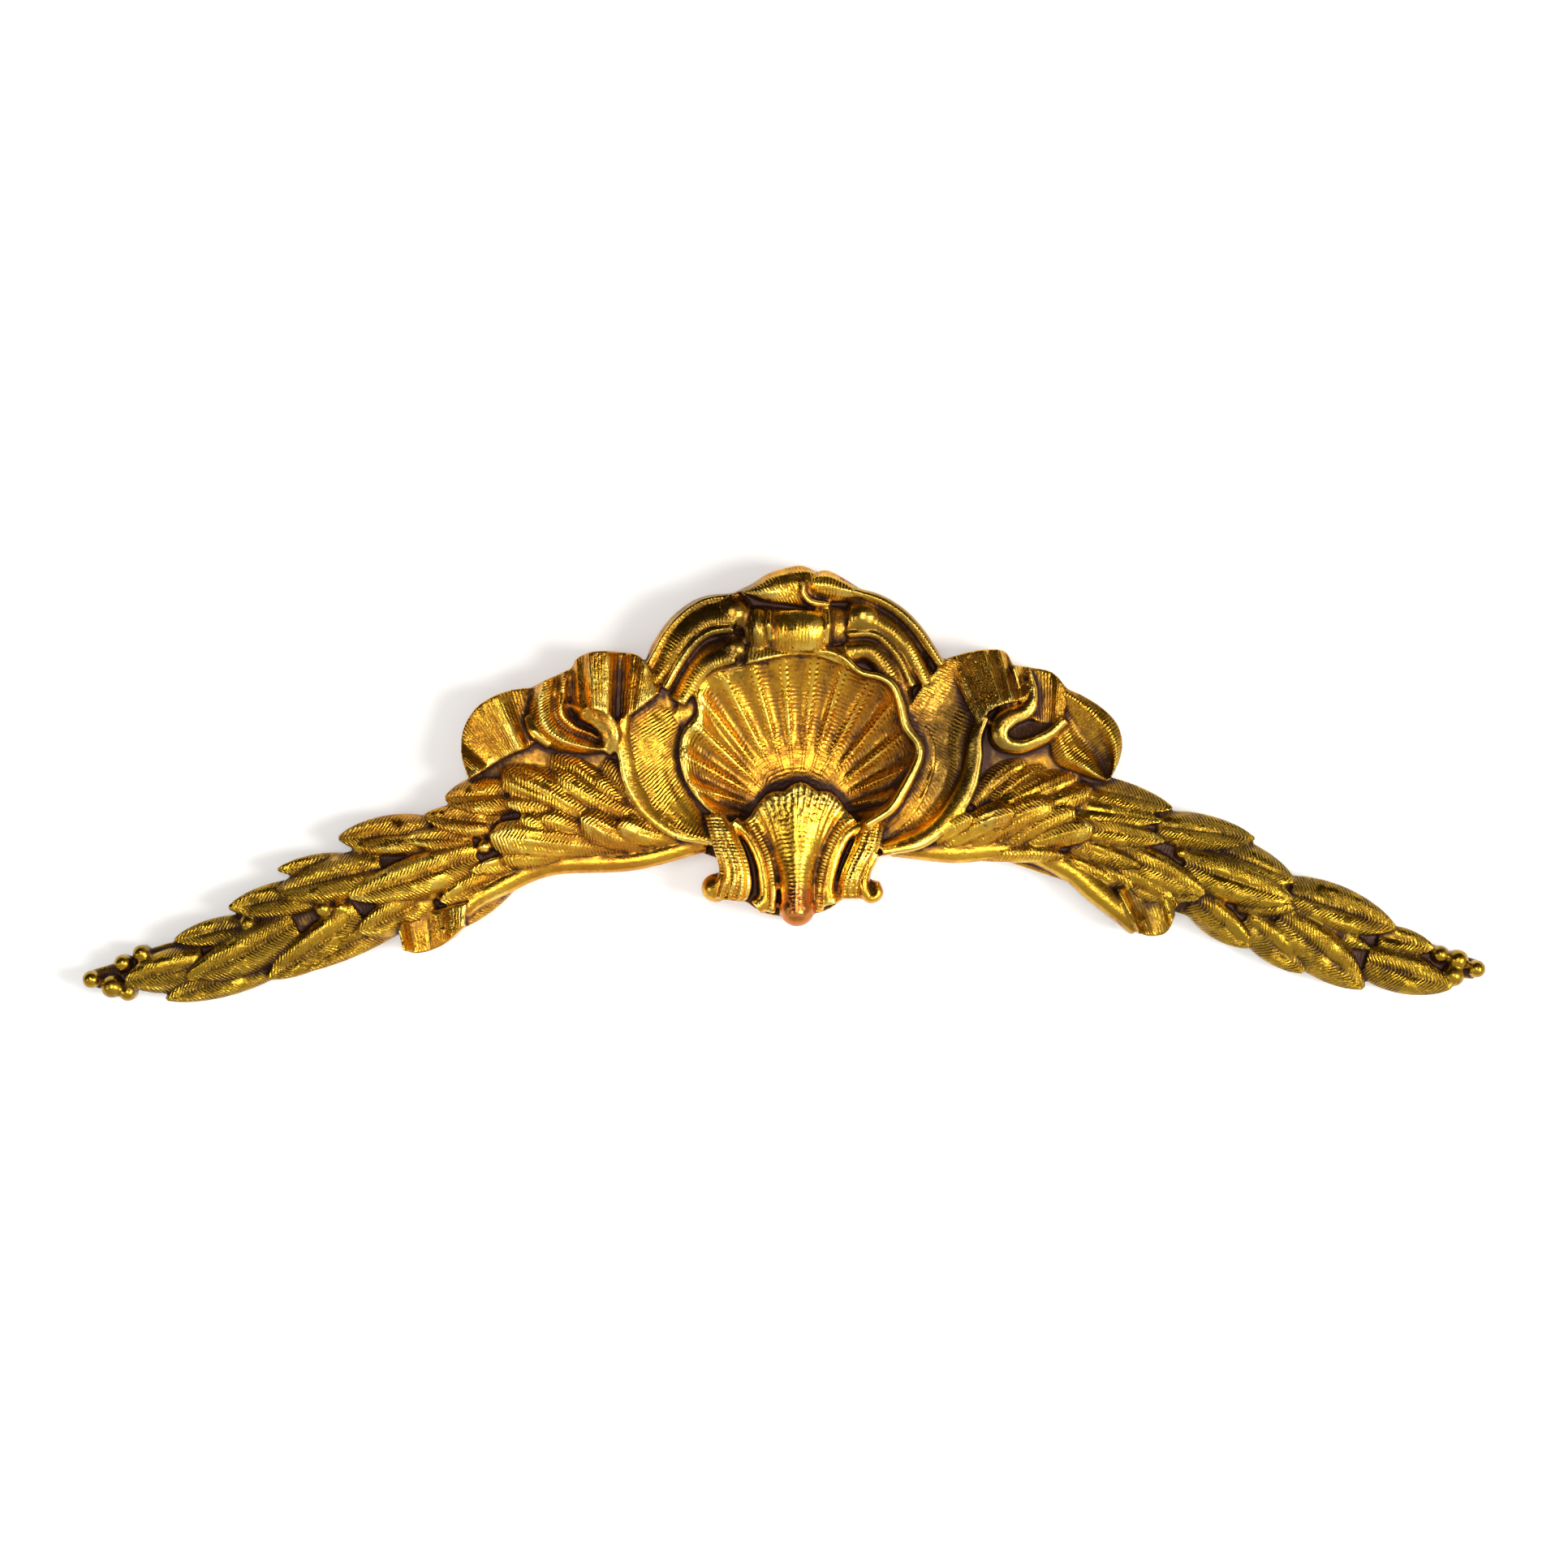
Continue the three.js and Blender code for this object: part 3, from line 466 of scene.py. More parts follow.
def buildCrest():
    leftOuter = [(-178, 86), (-154, 127), (-133, 151), (-108, 166), (-76, 169)]
    leftFillet = [(-160, 72), (-141, 105), (-122, 129), (-103, 141), (-76, 145)]
    leftInner = [(-146, 56), (-128, 90), (-108, 110), (-78, 120)]
    rightRim = [(72, 190), (101, 181), (127, 166), (147, 147), (163, 125), (180, 100)]
    rightOuter = [(66, 162), (96, 157), (118, 146), (137, 128), (151, 104), (164, 78)]
    rightFillet = [(64, 138), (96, 138), (113, 126), (129, 106), (144, 74)]
    rightInner = [(62, 116), (88, 118), (102, 108), (116, 90), (129, 68), (138, 44)]
    leftRim = [(-181, 100), (-160, 138), (-138, 163), (-112, 179), (-84, 184)]
    scrolls = (
        ("leftRim", leftRim, [4, 4], [56, 60, 64], 6, 0),
        ("leftOuter", leftOuter, [14, 19, 20, 20, 20], [52, 61, 67], 8, -9),
        ("leftFillet", leftFillet, [5, 6], [64, 72], 8, 0),
        ("leftInner", leftInner, [12, 18, 19, 19], [50, 60], 10, -8),
        ("rightRim", rightRim, [6, 7, 7, 7, 6], [72, 68, 60], 12, 0),
        ("rightOuter", rightOuter, [20, 15, 13, 12, 10], [64, 60, 54], 12, -4),
        ("rightFillet", rightFillet, [5, 6], [66, 60], 8, 0),
        ("rightInner", rightInner, [14, 14, 14, 13, 10], [62, 58, 50], 14, 0),
    )
    for name, path, widths, heights, crown, lean in scrolls:
        strip(name, path, widths, heights, roundOf(crown, lean), 44, 14, 0.2)
    boss("leftEnd", -77, 165, 25, 75)
    boss("leftInnerEnd", -76, 121, 20, 68)
    boss("rightEnd", 84, 160, 24, 75)
    sheet(
        "crestGround",
        [(-160, 128), (-120, 150), (-80, 182), (0, 200), (80, 182), (120, 150), (160, 128)],
        [(-138, 50), (-112, 84), (-60, 104), (0, 112), (60, 104), (112, 84), (138, 50)],
        lambda t, w: 48 + 4 * math.sin(math.pi * t),
        40, 8,
    )
    spoolTop = [(-66, 168), (-44, 172), (-10, 168), (24, 168), (50, 172), (72, 168)]
    spoolFoot = [(-62, 124), (-40, 120), (-8, 116), (22, 116), (44, 122), (66, 124)]
    sheet(
        "spool",
        spoolTop,
        spoolFoot,
        lambda t, w: readList([54, 66, 58, 66, 72, 73, 68, 54, 48], t) + 12 * math.sin(math.pi * w) ** 0.7,
        48, 20, 0.3,
    )
    strip("leftCollar", [(-32, 168), (-33, 150), (-30, 130)], [4, 5, 4], [70, 80, 70], roundOf(6), 16, 6)
    strip("rightCollar", [(39, 168), (40, 150), (38, 126)], [4, 4, 4], [76, 84, 76], roundOf(6), 16, 6)
    sheet(
        "spoolFoot",
        [(-60, 124), (-20, 120), (0, 118), (30, 120), (62, 124)],
        [(-62, 100), (-20, 110), (0, 112), (30, 110), (62, 98)],
        lambda t, w: 66 + 4 * w,
        30, 6, 0.3,
    )
    sheet(
        "crestLeft",
        [(-84, 186), (-54, 200), (-34, 213), (-12, 220), (8, 223), (24, 216)],
        [(-64, 190), (-40, 180), (-10, 176), (12, 172), (30, 172), (36, 190)],
        lambda t, w: readList([60, 72, 76, 76, 72, 66], w) + 4 * math.sin(2 * math.pi * t),
        40, 20, 0.6,
    )
    sheet(
        "crestRight",
        [(22, 213), (38, 217), (58, 208), (86, 190)],
        [(20, 186), (34, 180), (60, 179), (84, 182)],
        lambda t, w: readList([62, 75, 78, 74, 66], w),
        28, 18, 0.6,
    )
    crestCurl = [(10, 200), (10, 188), (20, 177), (42, 174)]
    strip("crestCurl", crestCurl, [3, 4, 4, 3], [80, 80], roundOf(6), 20, 6)


def buildDrop():
    sheet(
        "dropBack",
        [(-98, -98), (-50, -86), (50, -86), (98, -98)],
        [(-64, -190), (-30, -208), (32, -204), (62, -186)],
        lambda t, w: 40,
        24, 4,
    )
    left = smoothLine([(-54, -84), (-40, -104), (-29, -128), (-21, -156), (-18, -182), (-18, -206)])
    right = smoothLine([(66, -84), (50, -100), (36, -124), (26, -152), (22, -182), (22, -206)])

    def fan(t, s):
        w = (s + 1) / 2
        (ax, az), (bx, bz) = left(t), right(t)
        arch = (32 * math.sin(math.pi * w) ** 0.9 + 8 * abs(math.sin(3 * math.pi * w))) * (1 - t) ** 3
        lines = 6 * abs(math.cos(math.pi * 14 * w)) * max(0.0, 1 - t / 0.5)
        round_ = 18 * (1 - (2 * w - 1) ** 2)
        return mix(ax, bx, w), mix(az, bz, w) + arch, 58 + 20 * t**0.7 + round_ + lines

    carve("fan", fan, 60, 90, lambda t, s: (t * 24, s * 8), 0.15)
    boss("tongueEnd", 2, -199, 22, 94)
    for name, path, width in (
        ("leftCord", [(-58, -88), (-45, -110), (-34, -134), (-28, -164), (-27, -186), (-30, -204)], 5),
        ("rightCord", [(72, -88), (54, -102), (41, -126), (32, -156), (28, -184), (29, -204)], 6),
    ):
        strip(name, path, [width, width], [64, 72, 74, 70], roundOf(10), 40, 8, 1.0)
    leftFillet = [(-76, -92), (-56, -112), (-43, -138), (-37, -166), (-37, -188), (-48, -198)]
    rightFillet = [(92, -96), (66, -106), (52, -126), (44, -150), (40, -176), (44, -194)]
    strip("leftFillet2", leftFillet, [8, 8, 8, 9, 10], [58, 66, 66], roundOf(8), 36, 8)
    strip("rightFillet2", rightFillet, [8, 8, 9, 9, 11], [58, 68, 68], roundOf(10), 36, 8)

    def scroll(t, w):
        crown = 12 * math.sin(math.pi * w) ** 0.6
        return readList([56, 62, 66, 66, 60], t) + crown + 2.2 * math.cos(8 * math.pi * w)

    sheet(
        "leftVolute",
        [(-112, -84), (-103, -118), (-96, -140), (-94, -156), (-100, -172), (-104, -186)],
        [(-86, -84), (-66, -120), (-56, -150), (-54, -172), (-58, -186), (-66, -191)],
        scroll,
        36, 32, 0.3,
    )
    boss("leftEye", -98, -174, 18, 68)
    sheet(
        "rightVolute",
        [(82, -90), (70, -122), (58, -150), (52, -170), (50, -182), (52, -187)],
        [(110, -94), (104, -122), (92, -144), (84, -162), (82, -176), (84, -187)],
        scroll,
        36, 32, 0.3,
    )
    rightCurl = [(100, -132), (88, -152), (84, -172), (92, -186), (102, -180), (100, -166)]
    strip("rightCurl", rightCurl, [5, 6, 7, 8, 7, 4], [64, 70, 66], roundOf(12), 36, 10)
    boss("rightEye", 94, -178, 14, 66)


def buildGround():
    top = [
        (-392, -20), (-390, 40), (-330, 64), (-270, 92), (-225, 110), (-182, 98), (-145, 144), (-90, 178),
        (0, 195), (100, 172), (145, 140), (180, 100), (225, 110), (270, 92), (330, 68), (385, 30),
        (390, -20),
    ]
    bottom = [
        (-380, -40), (-330, -60), (-280, -80), (-230, -95), (-180, -110), (-125, -128), (-92, -140),
        (-50, -160), (0, -190), (50, -160), (92, -140), (125, -128), (180, -110), (230, -95), (280, -80),
        (330, -60), (380, -45),
    ]
    heights = [34, 44, 46, 44, 18, 18, 18, 44, 46, 44, 34]
    sheet("ground", top, bottom, lambda t, w: readList(heights, t), 64, 2)
    left = [(-432, -230), (-405, -196), (-365, -172), (-300, -145), (-200, -140), (-112, -118)]
    right = [(120, -124), (195, -130), (275, -126), (338, -150), (372, -178), (402, -203), (424, -222)]
    strip("leftBorder", left, [12, 14, 12], [42, 46], roundOf(10), 50, 8)
    strip("rightBorder", right, [12, 14, 14, 16, 14], [44, 46, 50], roundOf(12), 50, 8)
    sheet(
        "leftCurlEnd",
        [(-490, -221), (-468, -210), (-448, -203), (-428, -197), (-405, -192)],
        [(-483, -251), (-467, -255), (-446, -250), (-428, -240), (-408, -222)],
        lambda t, w: readList([56, 40, 36, 42, 52, 54], t) + 4 * w,
        34, 14, 0.2,
    )
    sheet(
        "rightCurlEnd",
        [(396, -176), (420, -171), (446, -178), (468, -194)],
        [(422, -230), (440, -234), (458, -229), (468, -208)],
        lambda t, w: readList([62, 46, 40, 42, 50, 46], t) + 4 * w,
        34, 14, 0.2,
    )


buildGround()
stem("leftStem", leftSpray)
stem("rightStem", rightSpray)
for side, spray, leaves, lobes in (
    ("left", leftSpray, leftLeaves, leftLobes),
    ("right", rightSpray, rightLeaves, rightLobes),
):
    for i, row in enumerate(leaves):
        leaf(f"{side}Leaf{i}", spray, row)
    for i, row in enumerate(lobes):
        lobe(f"{side}Lobe{i}", spray, row)
for i, (x, z, radius) in enumerate(berries):
    spray = leftSpray if x < 0 else rightSpray
    boss(f"berry{i}", x, z, radius, max(18, sprayBack(spray, x, z)) + radius * step * 1.2 / rise)
buildShell()
buildEars()
buildRuffles()
buildCrest()
buildDrop()


def evaluated(base, name, kind, **settings):
    # The mesh of an object after one modifier, which is then taken off again
    change = base.modifiers.new(name, kind)
    for key, value in settings.items():
        setattr(change, key, value)
    mesh = bpy.data.meshes.new_from_object(base.evaluated_get(bpy.context.evaluated_depsgraph_get()))
    base.modifiers.remove(change)
    return mesh


def discard(group):
    for o in list(group.objects):
        bpy.data.objects.remove(o)
    bpy.data.collections.remove(group)


def makeTools():
    # What is cut away: all behind the back plane, and the nail holes
    tools = bpy.data.collections.new("tools")
    bm = bmesh.new()
    bmesh.ops.create_cube(bm, size=1.0)
    bmesh.ops.scale(bm, vec=(mount["width"] * 1.2, 4 * mount["sink"], mount["width"]), verts=bm.verts)
    bmesh.ops.translate(bm, vec=(0, 2 * mount["sink"], 0), verts=bm.verts)
    mesh = bpy.data.meshes.new("plane")
    bm.to_mesh(mesh)
    bm.free()
    tools.objects.link(bpy.data.objects.new("plane", mesh))
    for x, z in nailHoles:
        bm = bmesh.new()
        radius = mount["pinHole"] / 2
        drill = {"radius1": radius, "radius2": radius, "depth": 3 * mount["depth"]}
        bmesh.ops.create_cone(bm, cap_ends=True, segments=mount["holeSides"], **drill)
        for v in bm.verts:
            v.co = (v.co.x + x * step, v.co.z, v.co.y + z * step)
        bmesh.ops.recalc_face_normals(bm, faces=bm.faces[:])
        mesh = bpy.data.meshes.new("drill")
        bm.to_mesh(mesh)
        bm.free()
        tools.objects.link(bpy.data.objects.new("drill", mesh))
    return tools


def nearestValues(source, points):
    # Chase coordinates, hatch and dots of the nearest place on the joined patches
    source.calc_loop_triangles()
    count = len(source.loop_triangles)
    corners = np.empty(count * 3, dtype=np.int32)
    loops = np.empty(count * 3, dtype=np.int32)
    source.loop_triangles.foreach_get("vertices", corners)
    source.loop_triangles.foreach_get("loops", loops)
    corners, loops = corners.reshape(-1, 3), loops.reshape(-1, 3)
    co = np.empty(len(source.vertices) * 3)
    source.vertices.foreach_get("co", co)
    co = co.reshape(-1, 3)
    tree = BVHTree.FromPolygons(co.tolist(), corners.tolist())
    found = [tree.find_nearest(p) for p in points.tolist()]
    index = np.array([f[2] for f in found])
    place = np.array([tuple(f[0]) for f in found])
    a, b, c = (co[corners[index, k]] for k in range(3))
    whole = np.maximum(np.linalg.norm(np.cross(b - a, c - a), axis=1), 1e-16)
    weights = np.stack(
        [
            np.linalg.norm(np.cross(b - place, c - place), axis=1) / whole,
            np.linalg.norm(np.cross(c - place, a - place), axis=1) / whole,
            np.linalg.norm(np.cross(a - place, b - place), axis=1) / whole,
        ],
        axis=1,
    )
    weights /= np.maximum(weights.sum(axis=1, keepdims=True), 1e-12)
    uv = np.empty(len(source.loops) * 2)
    source.uv_layers["Chase"].data.foreach_get("uv", uv)
    uv = uv.reshape(-1, 2)
    chase = (uv[loops[index]] * weights[:, :, None]).sum(axis=1)
    marks = []
    for name in ("hatch", "dots"):
        values = np.empty(len(source.vertices))
        source.attributes[name].data.foreach_get("value", values)
        marks.append((values[corners[index]] * weights).sum(axis=1))
    return chase, marks


def makeSkin():
    # The patches are joined, softened as a casting is, planed flat behind and drilled
    base = patches.objects["ground"]
    patches.objects.unlink(base)
    bpy.context.scene.collection.objects.link(base)
    group = {"operand_type": "COLLECTION", "solver": "MANIFOLD"}
    joined = evaluated(base, "join", "BOOLEAN", collection=patches, operation="UNION", **group)
    discard(patches)
    print("joined", len(joined.vertices))
    base.data = joined.copy()
    base.data = evaluated(base, "voxels", "REMESH", mode="VOXEL", voxel_size=soft["voxel"])
    print("voxels", len(base.data.polygons))
    base.data = evaluated(base, "soften", "SMOOTH", factor=0.5, iterations=soft["rounds"])
    share = min(1.0, soft["triangles"] / (2 * len(base.data.polygons)))
    base.data = evaluated(base, "thin", "DECIMATE", ratio=share)
    tools = makeTools()
    skin = evaluated(base, "cut", "BOOLEAN", collection=tools, operation="DIFFERENCE", **group)
    discard(tools)
    bpy.data.objects.remove(base)
    print("cut", len(skin.vertices), len(skin.polygons))
    co = np.empty(len(skin.vertices) * 3)
    skin.vertices.foreach_get("co", co)
    chase, marks = nearestValues(joined, co.reshape(-1, 3))
    for layer in list(skin.uv_layers):
        skin.uv_layers.remove(layer)
    uv = skin.uv_layers.new(name="Chase")
    vertex = np.empty(len(skin.loops), dtype=np.int32)
    skin.loops.foreach_get("vertex_index", vertex)
    uv.data.foreach_set("uv", chase[vertex].ravel())
    for name, values in zip(("hatch", "dots"), marks):
        if name in skin.attributes:
            skin.attributes.remove(skin.attributes[name])
        skin.attributes.new(name, "FLOAT", "POINT").data.foreach_set("value", values)
    return skin


soft = {"voxel": 0.0004, "rounds": 3, "triangles": 188000, "sharpFrom": 60}
giltMesh = makeSkin()
print("skin", len(giltMesh.vertices), len(giltMesh.polygons))


# The grid on which hollows are found, and for each reach in grid steps the depth that counts and its weight
hollows = {
    "pitch": 0.0004,
    "left": -0.53,  # shares of the width
    "across": 1.04,
    "foot": -0.068,
    "tall": 0.115,
    "fields": ((1, 0.0005, 0.30), (3, 0.0011, 0.38), (8, 0.0034, 0.38)),
}


def surfaceHeights(mesh):
    # Height of the front surface on a fine grid, by rays from the front
    tree = BVHTree.FromPolygons([v.co for v in mesh.vertices], [p.vertices for p in mesh.polygons])
    pitch = hollows["pitch"]
    columns = int(mount["width"] * hollows["across"] / pitch)
    rows = int(hollows["tall"] / pitch)
    x0, z0 = mount["width"] * hollows["left"], hollows["foot"]
    heights = np.zeros((rows, columns))
    for r in range(rows):
        for c in range(columns):
            start = Vector((x0 + c * pitch, -5 * mount["depth"], z0 + r * pitch))
            hit = tree.ray_cast(start, Vector((0, 1, 0)))
            if hit[0]:
                heights[r, c] = -hit[0].y
    return heights, x0, z0, pitch


def blurred(values, reach):
    # Three box blurs one after another, close to a Gaussian
    for _ in range(3):
        for axis in (0, 1):
            pad = [(reach + 1, reach) if a == axis else (0, 0) for a in (0, 1)]
            total = np.cumsum(np.pad(values, pad, mode="edge"), axis=axis)
            width = 2 * reach + 1
            ends = np.take(total, range(width, total.shape[axis]), axis)
            values = (ends - np.take(total, range(total.shape[axis] - width), axis)) / width
    return values


def markHollows(mesh):
    # How far each point lies below the surface around it, at three reaches: 0.5 is level, 1 is a deep hollow
    heights, x0, z0, pitch = surfaceHeights(mesh)
    inside = (heights > 0).astype(float)
    co = np.empty(len(mesh.vertices) * 3)
    mesh.vertices.foreach_get("co", co)
    co = co.reshape(-1, 3)
    c = np.clip(((co[:, 0] - x0) / pitch).round().astype(int), 0, heights.shape[1] - 1)
    r = np.clip(((co[:, 2] - z0) / pitch).round().astype(int), 0, heights.shape[0] - 1)
    own = np.maximum(-co[:, 1], heights[r, c] - 0.0005)
    depth = 0
    for reach, scale, weight in hollows["fields"]:
        cover = np.maximum(blurred(inside, reach), 0.05)
        within = np.clip(2.4 * cover - 1.4, 0, 1)  # fades out beside the outline
        around = blurred(heights, reach) / cover
        depth = depth + weight * ((around[r, c] - own) / scale * within[r, c])
    hollow = np.clip(0.5 + 0.5 * depth, 0, 1)
    layer = mesh.attributes.new("hollow", "FLOAT", "POINT")
    layer.data.foreach_set("value", hollow)


markHollows(giltMesh)
giltMesh.update()
for p in giltMesh.polygons:
    p.use_smooth = True
giltMesh.set_sharp_from_angle(angle=math.radians(soft["sharpFrom"]))
casting = bpy.data.objects.new("mount_casting", giltMesh)
bpy.context.scene.collection.objects.link(casting)
print("hollows marked")


class Graph:
    # Short calls for building a node tree

    def __init__(self, tree):
        self.tree = tree
        tree.nodes.clear()

    def add(self, kind, inputs=None, **settings):
        node = self.tree.nodes.new(kind)
        for key, value in settings.items():
            setattr(node, key, value)
        for key, value in (inputs or {}).items():
            socket = node.inputs[key]
            if isinstance(value, bpy.types.NodeSocket):
                self.tree.links.new(value, socket)
            else:
                socket.default_value = value
        return node

    def math(self, operation, a, b=0.0, c=0.0):
        return self.add("ShaderNodeMath", {0: a, 1: b, 2: c}, operation=operation).outputs[0]

    def ramp(self, value, low, high):
        node = self.add("ShaderNodeMapRange", {0: value, 1: low, 2: high}, interpolation_type="SMOOTHSTEP")
        return node.outputs[0]

    def noise(self, place, scale, detail=4.0, rough=0.55):
        inputs = {"Vector": place, "Scale": scale, "Detail": detail, "Roughness": rough}
        return self.add("ShaderNodeTexNoise", inputs).outputs[0]

    def blend(self, share, a, b):
        node = self.add("ShaderNodeMix", {0: share, 6: a, 7: b}, data_type="RGBA")
        return node.outputs[2]

    def attribute(self, name):
        return self.add("ShaderNodeAttribute", attribute_name=name).outputs[2]


# The gilding. Lengths are in metres, the two pitches in millimetres, and the depths are shares of the relief
gilt = {
    "gold": (0.80, 0.46, 0.040, 1),
    "paleGold": (0.94, 0.64, 0.12, 1),
    "redGold": (0.58, 0.24, 0.022, 1),
    # painted shade colour for the ends of the sprays
    "endShade": (0.38, 0.235, 0.020, 1),
    # olive for spots of painted shade
    "shadeOlive": (0.17, 0.095, 0.018, 1),
    # patina colour, also used as painted shade in the hollows
    "patinaAndShade": (0.055, 0.024, 0.016, 1),
    "copper": (0.50, 0.13, 0.035, 1),
    "strokePitch": 0.86,
    "strokeDepth": 0.36,
    "dotPitch": 1.1,
    "dotDepth": 0.22,
    "grainDepth": 0.36,
    "gritDepth": 0.18,
    "relief": 0.00045,
    "backDepth": (-0.0001, -0.0006),  # from the flat back to where the carved front takes over
    "backHollow": 0.62,
    "patinaAndShadeFrom": 0.51,
    "patinaAndShadeTo": 0.84,
    "roughness": (0.23, 0.50),  # of clean gold and of the patina with painted shade
    "metal": (1.0, 0.75),
    "middle": -0.018,  # painted light falloff: brightest here, with painted shade toward the spray ends
    "endShadeShare": 0.85,
    "tongueTip": (0.0004, -0.018, -0.0398),
    # Each painted shade spot: its middle, where it starts, where it is full, and its share
    "shadeSpots": (
        ((-0.0185, -0.013, 0.0320), 0.018, 0.008, 0.80),
        ((-0.0145, -0.012, 0.0245), 0.009, 0.004, 0.85),
        ((0.0250, -0.012, 0.0290), 0.020, 0.008, 0.70),
        ((0.0400, -0.010, 0.0000), 0.021, 0.009, 0.85),
        ((-0.0370, -0.010, -0.0020), 0.022, 0.008, 0.28),
    ),
}


def giltMaterial():
    material = bpy.data.materials.new("Gilt bronze")
    material.use_nodes = True
    g = Graph(material.node_tree)
    place = g.add("ShaderNodeTexCoord").outputs["Object"]
    where = g.add("ShaderNodeSeparateXYZ", {0: place})
    chase = g.add("ShaderNodeUVMap", uv_map="Chase").outputs[0]
    parts = g.add("ShaderNodeSeparateXYZ", {0: chase})
    carved = g.ramp(where.outputs[1], *gilt["backDepth"])  # 0 on the flat back, plain and evenly brown
    # the hollow attribute gives patina and painted shade in hollows, under overhangs and between parts
    hollow = g.math("SUBTRACT", g.attribute("hollow"), gilt["backHollow"])
    hollow = g.math("MULTIPLY_ADD", hollow, carved, gilt["backHollow"])
    hatch = g.math("MULTIPLY", g.attribute("hatch"), carved)
    dots = g.math("MULTIPLY", g.attribute("dots"), carved)

    broad = g.noise(place, 45, 5)
    fine = g.noise(place, 420, 5, 0.65)
    grit = g.noise(place, 1500, 3, 0.6)
    mottle = g.noise(place, 160, 6, 0.7)

    # Chased strokes across the leaves, and rows of punched dots along the ribs
    wobble = g.math("MULTIPLY", g.noise(place, 600, 2), 0.7)
    phase = g.math("MULTIPLY", g.math("ADD", parts.outputs[0], wobble), 2 * math.pi / gilt["strokePitch"])
    kept = g.math("MULTIPLY", hatch, g.ramp(mottle, 0.38, 0.58))
    strokes = g.math("MULTIPLY", g.math("SINE", phase), kept)
    ridge = g.math("COSINE", g.math("MULTIPLY", parts.outputs[1], 2 * math.pi))
    crest = g.math("SUBTRACT", g.ramp(ridge, 0.45, 0.65), g.ramp(ridge, 0.86, 0.94))
    punches = g.math("SINE", g.math("MULTIPLY", parts.outputs[0], 2 * math.pi / gilt["dotPitch"]))
    punches = g.math("MULTIPLY", g.math("MULTIPLY", punches, crest), dots)

    level = g.math("MULTIPLY", fine, gilt["grainDepth"])
    level = g.math("MULTIPLY_ADD", strokes, gilt["strokeDepth"], level)
    level = g.math("MULTIPLY_ADD", grit, gilt["gritDepth"], level)
    level = g.math("MULTIPLY_ADD", punches, gilt["dotDepth"], level)
    bump = g.add("ShaderNodeBump", {"Strength": 0.8, "Distance": gilt["relief"], "Height": level}).outputs[0]

    # Brown patina with painted shade where the form is hollow, broken up by the mottling, and more painted
    # shade toward the spray ends
    wornAndShaded = g.math("ADD", hollow, g.math("MULTIPLY", g.math("SUBTRACT", mottle, 0.5), 0.5))
    wornAndShaded = g.math("ADD", wornAndShaded, g.math("MULTIPLY", g.math("SUBTRACT", fine, 0.5), 0.35))
    wornAndShaded = g.math("MULTIPLY_ADD", strokes, -0.09, wornAndShaded)
    away = g.math("ABSOLUTE", g.math("SUBTRACT", where.outputs[0], gilt["middle"]))
    # painted shade: more patina colour toward the spray ends, where the light falls off
    wornAndShaded = g.math("MULTIPLY_ADD", g.ramp(away, 0.055, 0.13), 0.09, wornAndShaded)
    dark = g.ramp(wornAndShaded, gilt["patinaAndShadeFrom"], gilt["patinaAndShadeTo"])
    specks = g.ramp(g.noise(place, 900, 2, 0.5), 0.67, 0.73)
    dark = g.math("MAXIMUM", dark, g.math("MULTIPLY", specks, 0.7))
    warm = g.blend(g.ramp(broad, 0.4, 0.65), gilt["gold"], gilt["redGold"])
    warm = g.blend(g.math("MULTIPLY", g.ramp(wornAndShaded, 0.40, 0.58), 0.7), warm, gilt["redGold"])
    bright = g.blend(g.ramp(wornAndShaded, 0.42, 0.22), warm, gilt["paleGold"])

    # Painted shade toward both spray ends, where the light falls off, and a copper-red tip to the tongue
    bright = g.blend(g.math("MULTIPLY", g.ramp(away, 0.050, 0.12), gilt["endShadeShare"]), bright, gilt["endShade"])
    # painted shade: olive spots darken the ears and the crest scrolls
    for middle, outer, inner, share in gilt["shadeSpots"]:
        near = g.add("ShaderNodeVectorMath", {0: place, 1: middle}, operation="DISTANCE").outputs[1]
        near = g.math("ADD", near, g.math("MULTIPLY", g.math("SUBTRACT", mottle, 0.5), 0.012))
        near = g.math("MULTIPLY", g.ramp(near, outer, inner), carved)
        bright = g.blend(g.math("MULTIPLY", near, share), bright, gilt["shadeOlive"])
    tip = g.add("ShaderNodeVectorMath", {0: place, 1: gilt["tongueTip"]}, operation="DISTANCE").outputs[1]
    bright = g.blend(g.math("MULTIPLY", g.ramp(tip, 0.0075, 0.0045), 0.8), bright, gilt["copper"])

    # patina mixed with painted shade where the form is hollow and toward the spray ends
    colour = g.blend(dark, bright, gilt["patinaAndShade"])
    clean, brown = gilt["roughness"]
    roughness = g.add("ShaderNodeMapRange", {0: dark, 3: clean, 4: brown}).outputs[0]
    roughness = g.math("MULTIPLY_ADD", g.math("SUBTRACT", fine, 0.5), 0.3, roughness)
    clean, brown = gilt["metal"]
    metal = g.add("ShaderNodeMapRange", {0: dark, 3: clean, 4: brown}).outputs[0]
    shader = g.add(
        "ShaderNodeBsdfPrincipled",
        {"Base Color": colour, "Roughness": roughness, "Metallic": metal, "Normal": bump},
    )
    g.add("ShaderNodeOutputMaterial", {0: shader.outputs[0]})
    return material


casting.data.materials.clear()
casting.data.materials.append(giltMaterial())
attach(casting, "root")
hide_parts("pediment_mount")
print("material made")

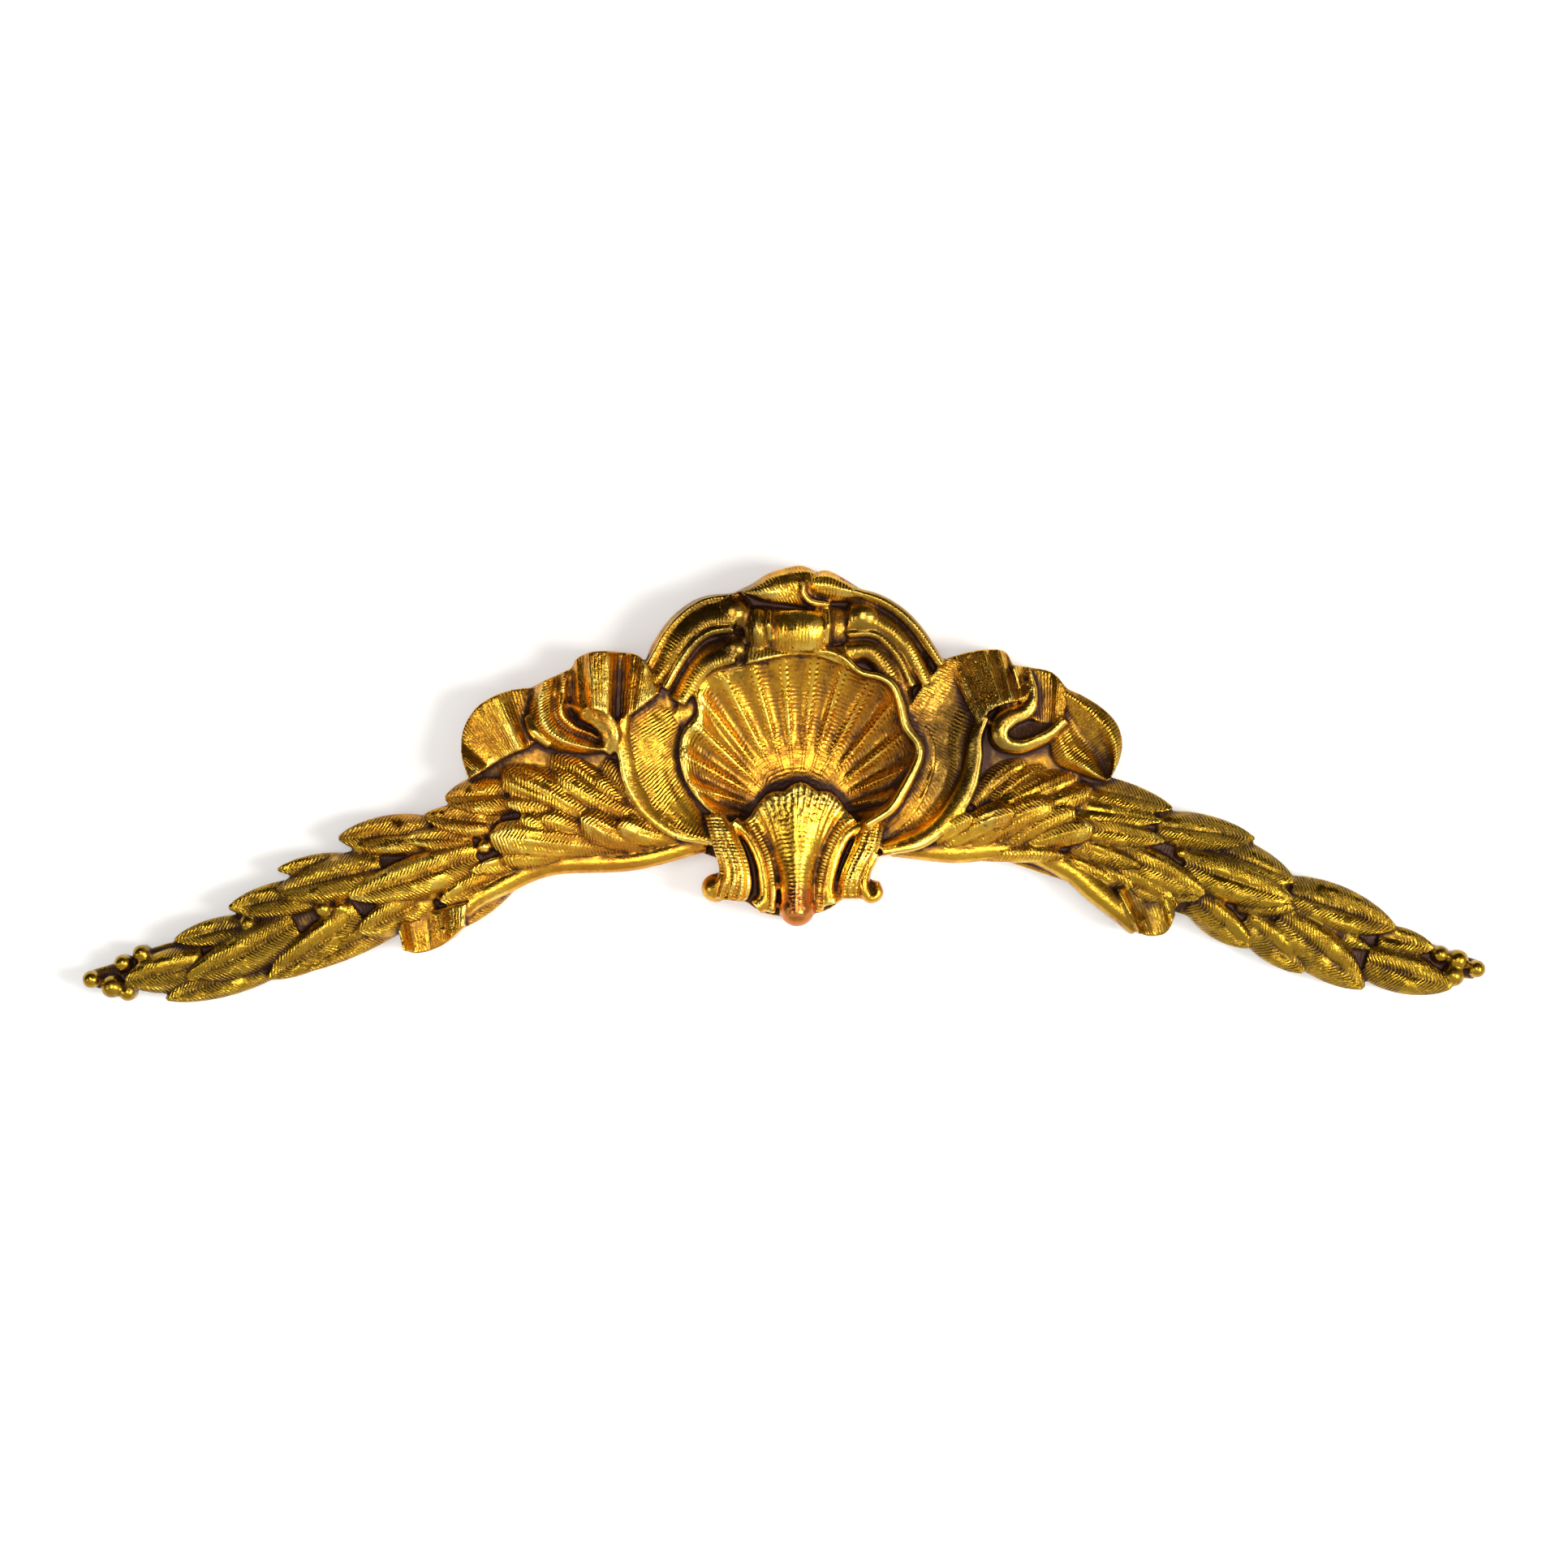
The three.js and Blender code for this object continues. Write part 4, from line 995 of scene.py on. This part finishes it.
# The studio: a pale wall behind, a pale floor below the picture, and soft light from the front and sides
studio = {
    "pale": (0.86, 0.86, 0.86, 1),
    "wallGap": 0.004,
    "wallSize": 3.0,
    "wallGlow": 0.35,
    "floorDrop": 0.35,
    # Each light: its place, size, power and colour
    "lights": {
        "Key": ((0.9, -1.1, -0.35), (0.5, 0.7), 25, (1, 0.97, 0.9)),
        "Front": ((-0.1, -1.6, 0.1), (0.5, 0.5), 7, (1, 1, 1)),
        "Left": ((-1.2, -0.9, -0.5), (0.5, 0.7), 9, (1, 0.97, 0.92)),
    },
    "brightSide": (0.55, -0.45, -0.70),  # where the surroundings are light, for the gloss
    "darkSky": (0.035, 0.028, 0.024, 1),
    "lightSky": (0.62, 0.58, 0.52, 1),
    "pictureWidth": 0.3864,
    "pictureMiddle": (-0.0028, -0.0092),
    "lens": 100,
}


def plainMaterial(name, colour, glow):
    # Matt, and clear from behind, so that a view from there shows the mount's back
    material = bpy.data.materials.new(name)
    material.use_nodes = True
    g = Graph(material.node_tree)
    inputs = {"Base Color": colour, "Roughness": 0.9, "Emission Color": colour, "Emission Strength": glow}
    shader = g.add("ShaderNodeBsdfPrincipled", inputs)
    clear = g.add("ShaderNodeBsdfTransparent")
    behind = g.add("ShaderNodeNewGeometry").outputs["Backfacing"]
    seen = g.add("ShaderNodeMixShader", {0: behind, 1: shader.outputs[0], 2: clear.outputs[0]})
    g.add("ShaderNodeOutputMaterial", {0: seen.outputs[0]})
    return material


def panel(name, size, place, turn, glow):
    bm = bmesh.new()
    bmesh.ops.create_grid(bm, x_segments=1, y_segments=1, size=size / 2)
    mesh = bpy.data.meshes.new(name)
    bm.to_mesh(mesh)
    bm.free()
    o = bpy.data.objects.new(name, mesh)
    o.location = place
    o.rotation_euler = turn
    mesh.materials.append(plainMaterial(name, studio["pale"], glow))
    bpy.context.scene.collection.objects.link(o)
    return o


upright = (math.pi / 2, 0, 0)
wall = panel("Wall", studio["wallSize"], (0, studio["wallGap"], 0), upright, studio["wallGlow"])
floor = panel("Floor", studio["wallSize"] * 2, (0, 0, -studio["floorDrop"]), (0, 0, 0), 0.0)


def softLight(name, place, size, power, colour):
    light = bpy.data.lights.new(name, "AREA")
    light.shape = "RECTANGLE"
    light.size, light.size_y = size
    light.energy = power
    light.color = colour
    o = bpy.data.objects.new(name, light)
    o.location = place
    o.rotation_euler = (-Vector(place)).to_track_quat("-Z", "Y").to_euler()
    bpy.context.scene.collection.objects.link(o)


for name, row in studio["lights"].items():
    softLight(name, *row)

world = bpy.data.worlds.new("Studio")
bpy.context.scene.world = world
world.use_nodes = True
g = Graph(world.node_tree)
direction = g.add("ShaderNodeTexCoord").outputs["Generated"]
towards = g.add("ShaderNodeVectorMath", {0: direction, 1: studio["brightSide"]}, operation="DOT_PRODUCT")
tone = g.blend(g.ramp(towards.outputs[1], -0.22, 0.95), studio["darkSky"], studio["lightSky"])
background = g.add("ShaderNodeBackground", {0: tone, 1: 1.0})
g.add("ShaderNodeOutputWorld", {0: background.outputs[0]})

lens = bpy.data.cameras.new("Camera")
lens.lens = studio["lens"]
lens.sensor_width = 36
lens.clip_start = 0.05
lens.clip_end = 20
camera = bpy.data.objects.new("Camera", lens)
middleX, middleZ = studio["pictureMiddle"]
away = studio["pictureWidth"] * lens.lens / lens.sensor_width + mount["depth"] / 2
camera.location = (middleX, -away, middleZ)
camera.rotation_euler = (math.pi / 2, 0, 0)
bpy.context.scene.collection.objects.link(camera)
bpy.context.scene.camera = camera
bpy.context.scene.view_settings.view_transform = "Standard"

print("scene ready")
